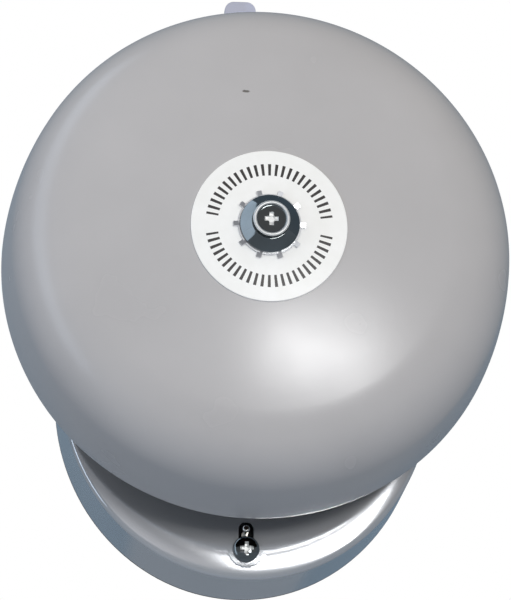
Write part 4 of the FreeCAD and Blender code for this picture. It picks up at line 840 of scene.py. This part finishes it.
def cut_cover():
    screw_up = size_of("cover_screw")[3]
    key_up = screw_up + KEYHOLE_RISE
    through = (cover_out - COVER_WALL - CUT_OVER, cover_out + CUT_OVER)
    at_top = (cover_top - CUT_DEEP, cover_top + CUT_OVER)
    slot_half = ROD_R + ROD_MARGIN
    tongue_half, lug_half = TONGUE_WIDE / 2 + FIT_GAP, LUG_WIDE / 2 + FIT_GAP
    carve(cover, rod(SEAT_R + SEAT_FLARE, (cover_out - COVER_WALL, cover_out), 0, screw_up,
                     SEAT_STEPS, SEAT_R), "UNION")
    for cutter in (
            rod(PILLAR_HOLE_R, through, 0, 0, PILLAR_STEPS),
            rod(KEYHOLE_WIDE / 2, through, 0, key_up, KEYHOLE_STEPS),
            block((-KEYHOLE_WIDE / 2, KEYHOLE_WIDE / 2), through, (screw_up, key_up)),
            block((ROD_X - slot_half, ROD_X + slot_half), through,
                  (ROD_UP - ROD_DROP - slot_half, ROD_UP + slot_half)),
            block((-tongue_half, tongue_half),
                  (TONGUE_OUT - FIT_GAP, TONGUE_OUT + TONGUE_THICK + FIT_GAP), at_top),
            block((-lug_half, lug_half), (cover_low - CUT_OVER, PLATE_THICK + FIT_GAP), at_top)):
        carve(cover, cutter)


cut_cover()
ease_edges(cover, COVER_EDGE)
fit(cover, "case_cover")

# Screws with a cross recess, whose sizes are (long, wide, deep)

WING_ENDS = (0.55, 0.72)
TIP_CONE = 0.55
TIP_CONE_TOP = 0.95
TIP_CONE_DEEP = 1.25
TIP_OVER = 1.0
TIP_STEPS = 32
SCREW_EDGE = 0.12
RIM_DEEP = 0.5
RIM_STEPS = 12


def cross_cutter(recess, at):
    """A driver's tip that lines what it cuts with near-white metal, a painted glint: two tapered
    wings and a cone, pointing in.
    """
    long, wide, deep = recess
    x, up, out = at
    end_share = dict(zip((long, wide), WING_ENDS))
    tip = None
    for across, tall in ((long, wide), (wide, long)):
        wing = block((x - across / 2, x + across / 2), (out - deep, out + TIP_OVER),
                     (up - tall / 2, up + tall / 2))
        select_faces(wing, lambda middle, normal: normal.y > 0.5)
        bpy.ops.transform.resize(value=(end_share[across], 1, end_share[tall]),
                                 center_override=(x * MM, -(out - deep) * MM, up * MM))
        bpy.ops.object.mode_set(mode="OBJECT")
        tip = wing if tip is None else carve(tip, wing, "UNION")
    carve(tip, rod(wide * TIP_CONE, (out - deep * TIP_CONE_DEEP, out + TIP_OVER), x, up,
                   TIP_STEPS, wide * TIP_CONE_TOP), "UNION")
    # The recess is lined with near-white metal, a painted glint
    paint(tip, worn_and_glint)
    return tip


def screw(node_name, name, profile, recess, at, rim_from=None):
    """A dark screw whose driver recess, and its rim from this radius too, take near-white metal
    as wear and as a painted glint.
    """
    x, up, top = at

    def on_rim(middle, normal):
        radius = Vector((middle.x - x, middle.z - up)).length
        return -middle.y > top - RIM_DEEP and radius > rim_from

    piece = turned(name, profile, at=(x, up), capped=True)
    piece.data.materials.append(finishes[slots[node_name]])
    carve(piece, cross_cutter(recess, at))
    ease_edges(piece, SCREW_EDGE, sharper_than=50)
    # The rim takes the near-white metal too, a painted highlight
    if rim_from:
        repaint(piece, worn_and_glint, on_rim)
    fit(piece, node_name, keep_paint=True)


# The gong's screw has a raised rim round a dished middle
SHANK_R = 2.5
HEAD_RISE = 2.8
HEAD_CHAMFER = 0.3
HEAD_RIM = 1.05
HEAD_DISH = 0.7
DISH_WALL = 0.15
DISH_FLOOR_IN, DISH_FLOOR_DROP = 0.5, 0.1
GONG_RECESS = (6.2, 1.7, 1.3)


def gong_screw():
    head_r, _, _, _, end, top = size_of("gong_screw")
    low, dish_r, dish = top - HEAD_RISE, head_r - HEAD_RIM, top - HEAD_DISH
    profile = [(SHANK_R, end), (SHANK_R, low), (head_r - HEAD_CHAMFER, low),
               (head_r, low + HEAD_CHAMFER)]
    profile += arc((head_r - HEAD_RIM / 2, top - HEAD_RIM / 2), HEAD_RIM / 2, 0, math.pi,
                   RIM_STEPS)
    profile += [(dish_r - DISH_WALL, dish), (dish_r - DISH_FLOOR_IN, dish - DISH_FLOOR_DROP)]
    screw("gong_screw", "gong_fixing_screw", profile, GONG_RECESS, (0, 0, top), dish_r)


# The cover's screw has a domed head
COVER_SHANK_R = 2.0
COVER_HEAD_RISE = 2.4
COVER_HEAD_CHAMFER = 0.2
COVER_HEAD_SIDE = 0.75
DOME_SHARES = (0.15, 0.3, 0.45, 0.6, 0.72, 0.82, 0.9, 0.95, 0.98, 0.995)
COVER_RECESS = (5.2, 1.3, 1.4)


def cover_screw():
    head_r, _, _, up, end, top = size_of("cover_screw")
    low = top - COVER_HEAD_RISE
    dome_low, dome_rise = low + COVER_HEAD_SIDE, COVER_HEAD_RISE - COVER_HEAD_SIDE
    profile = [(COVER_SHANK_R, end), (COVER_SHANK_R, low), (head_r - COVER_HEAD_CHAMFER, low),
               (head_r, low + COVER_HEAD_CHAMFER), (head_r, dome_low)]
    profile += [(head_r * (1 - share ** 2) ** 0.5, dome_low + dome_rise * share)
                for share in DOME_SHARES]
    screw("cover_screw", "cover_fixing_screw", profile, COVER_RECESS, (0, up, top))


gong_screw()
cover_screw()

# Washers on the gong

LOCK_HOLE_R = 3.3
LOCK_EDGE = 0.08
TEETH = 10
TOOTH_REACH = 1.3
TOOTH_WIDE = 1.5
TOOTH_TWIST = 14


def lock_washer():
    """A flat ring with twisted teeth round it."""
    wash_r, _, _, _, low, high = size_of("lock_washer")
    ring_r = wash_r - TOOTH_REACH
    corners = ((LOCK_HOLE_R, low), (ring_r, low), (ring_r, high), (LOCK_HOLE_R, high))
    washer = turned("toothed_washer", softened([(*corner, LOCK_EDGE) for corner in corners]))
    for tooth in range(TEETH):
        turn = math.tau * tooth / TEETH
        bpy.ops.mesh.primitive_cube_add(
            size=MM, scale=(TOOTH_REACH * 2, high - low, TOOTH_WIDE),
            location=(ring_r * math.cos(turn) * MM, -(low + high) / 2 * MM,
                      ring_r * math.sin(turn) * MM),
            rotation=(math.radians(TOOTH_TWIST), -turn, 0))
        carve(washer, settle(bpy.context.object, "tooth"), "UNION")
    ease_edges(washer, LOCK_EDGE, sharper_than=50)
    paint(washer, pale_zinc)
    fit(washer, "lock_washer", keep_paint=True)


CONE_TOP_R = 5.5
CONE_SIDE = 0.8
CONE_WALL = 1.1
CONE_HOLE_R = 2.9
CONE_STEPS, CONE_CORNER_STEPS = 128, 6


def cone_washer():
    """A dished cone with a low straight side and soft corners."""
    cone_r, _, _, _, low, high = size_of("cone_washer")
    under = high - CONE_WALL
    corners = [(CONE_HOLE_R, under, 0.1), (CONE_TOP_R - CONE_WALL, under, 0.3),
               (cone_r - CONE_WALL, low, 0.1), (cone_r, low, 0.12),
               (cone_r, low + CONE_SIDE, 0.3), (CONE_TOP_R, high, 0.35),
               (CONE_HOLE_R, high, 0.1)]
    washer = turned("coned_washer", softened(corners, CONE_CORNER_STEPS), CONE_STEPS)
    fit(washer, "cone_washer")


lock_washer()
cone_washer()

# Every other piece keeps its CAD shape, with its edges eased

NODE_WELD = 0.002
FLAT_WITHIN = 0.3
EDGE = 0.12
EDGES = {"back_plate": 0.3, "base_gasket": 0.25, "gong_pillar": 0.15, "chassis": 0.2}
SPRING_EDGE = 0.06
SPRING_CUTS = 8


def eased_copy(node_name, width, body):
    """A copy of a node whose flat faces are whole and whose sharp edges are rounded."""
    source = nodes[node_name]
    piece = source.copy()
    piece.data = source.data.copy()
    piece.parent = None
    for key in list(piece.keys()):
        del piece[key]
    bpy.context.scene.collection.objects.link(piece)
    piece.name = node_name + "_finished"
    piece.data.name = piece.name
    start_edit(piece)
    bpy.ops.mesh.select_all(action="SELECT")
    bpy.ops.mesh.customdata_custom_splitnormals_clear()
    bpy.ops.mesh.remove_doubles(threshold=NODE_WELD * MM)
    bpy.ops.mesh.dissolve_limited(angle_limit=math.radians(FLAT_WITHIN))
    bpy.ops.object.mode_set(mode="OBJECT")
    ease_edges(piece, width, sharper_than=30)
    return fit(piece, node_name, body)


def hinge_spring():
    """The leaf bends between its clamp and the armature, so it is cut across there."""
    spring = eased_copy("hinge_spring", SPRING_EDGE, None)
    clamp_end, armature_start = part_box("spring_clamp")[1].x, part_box("armature")[0].x
    for step in range(SPRING_CUTS + 1):
        place = clamp_end + (armature_start - clamp_end) * step / SPRING_CUTS
        start_edit(spring)
        bpy.ops.mesh.select_all(action="SELECT")
        bpy.ops.mesh.bisect(plane_co=(place, 0, 0), plane_no=(1, 0, 0))
        bpy.ops.object.mode_set(mode="OBJECT")
    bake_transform(spring)


hinge_spring()
done = {name for item in bpy.data.objects for name in item.get("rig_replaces", [])}
for body, members in bodies.items():
    for member in members:
        if member not in done:
            eased_copy(member, EDGES.get(member, EDGE), body)
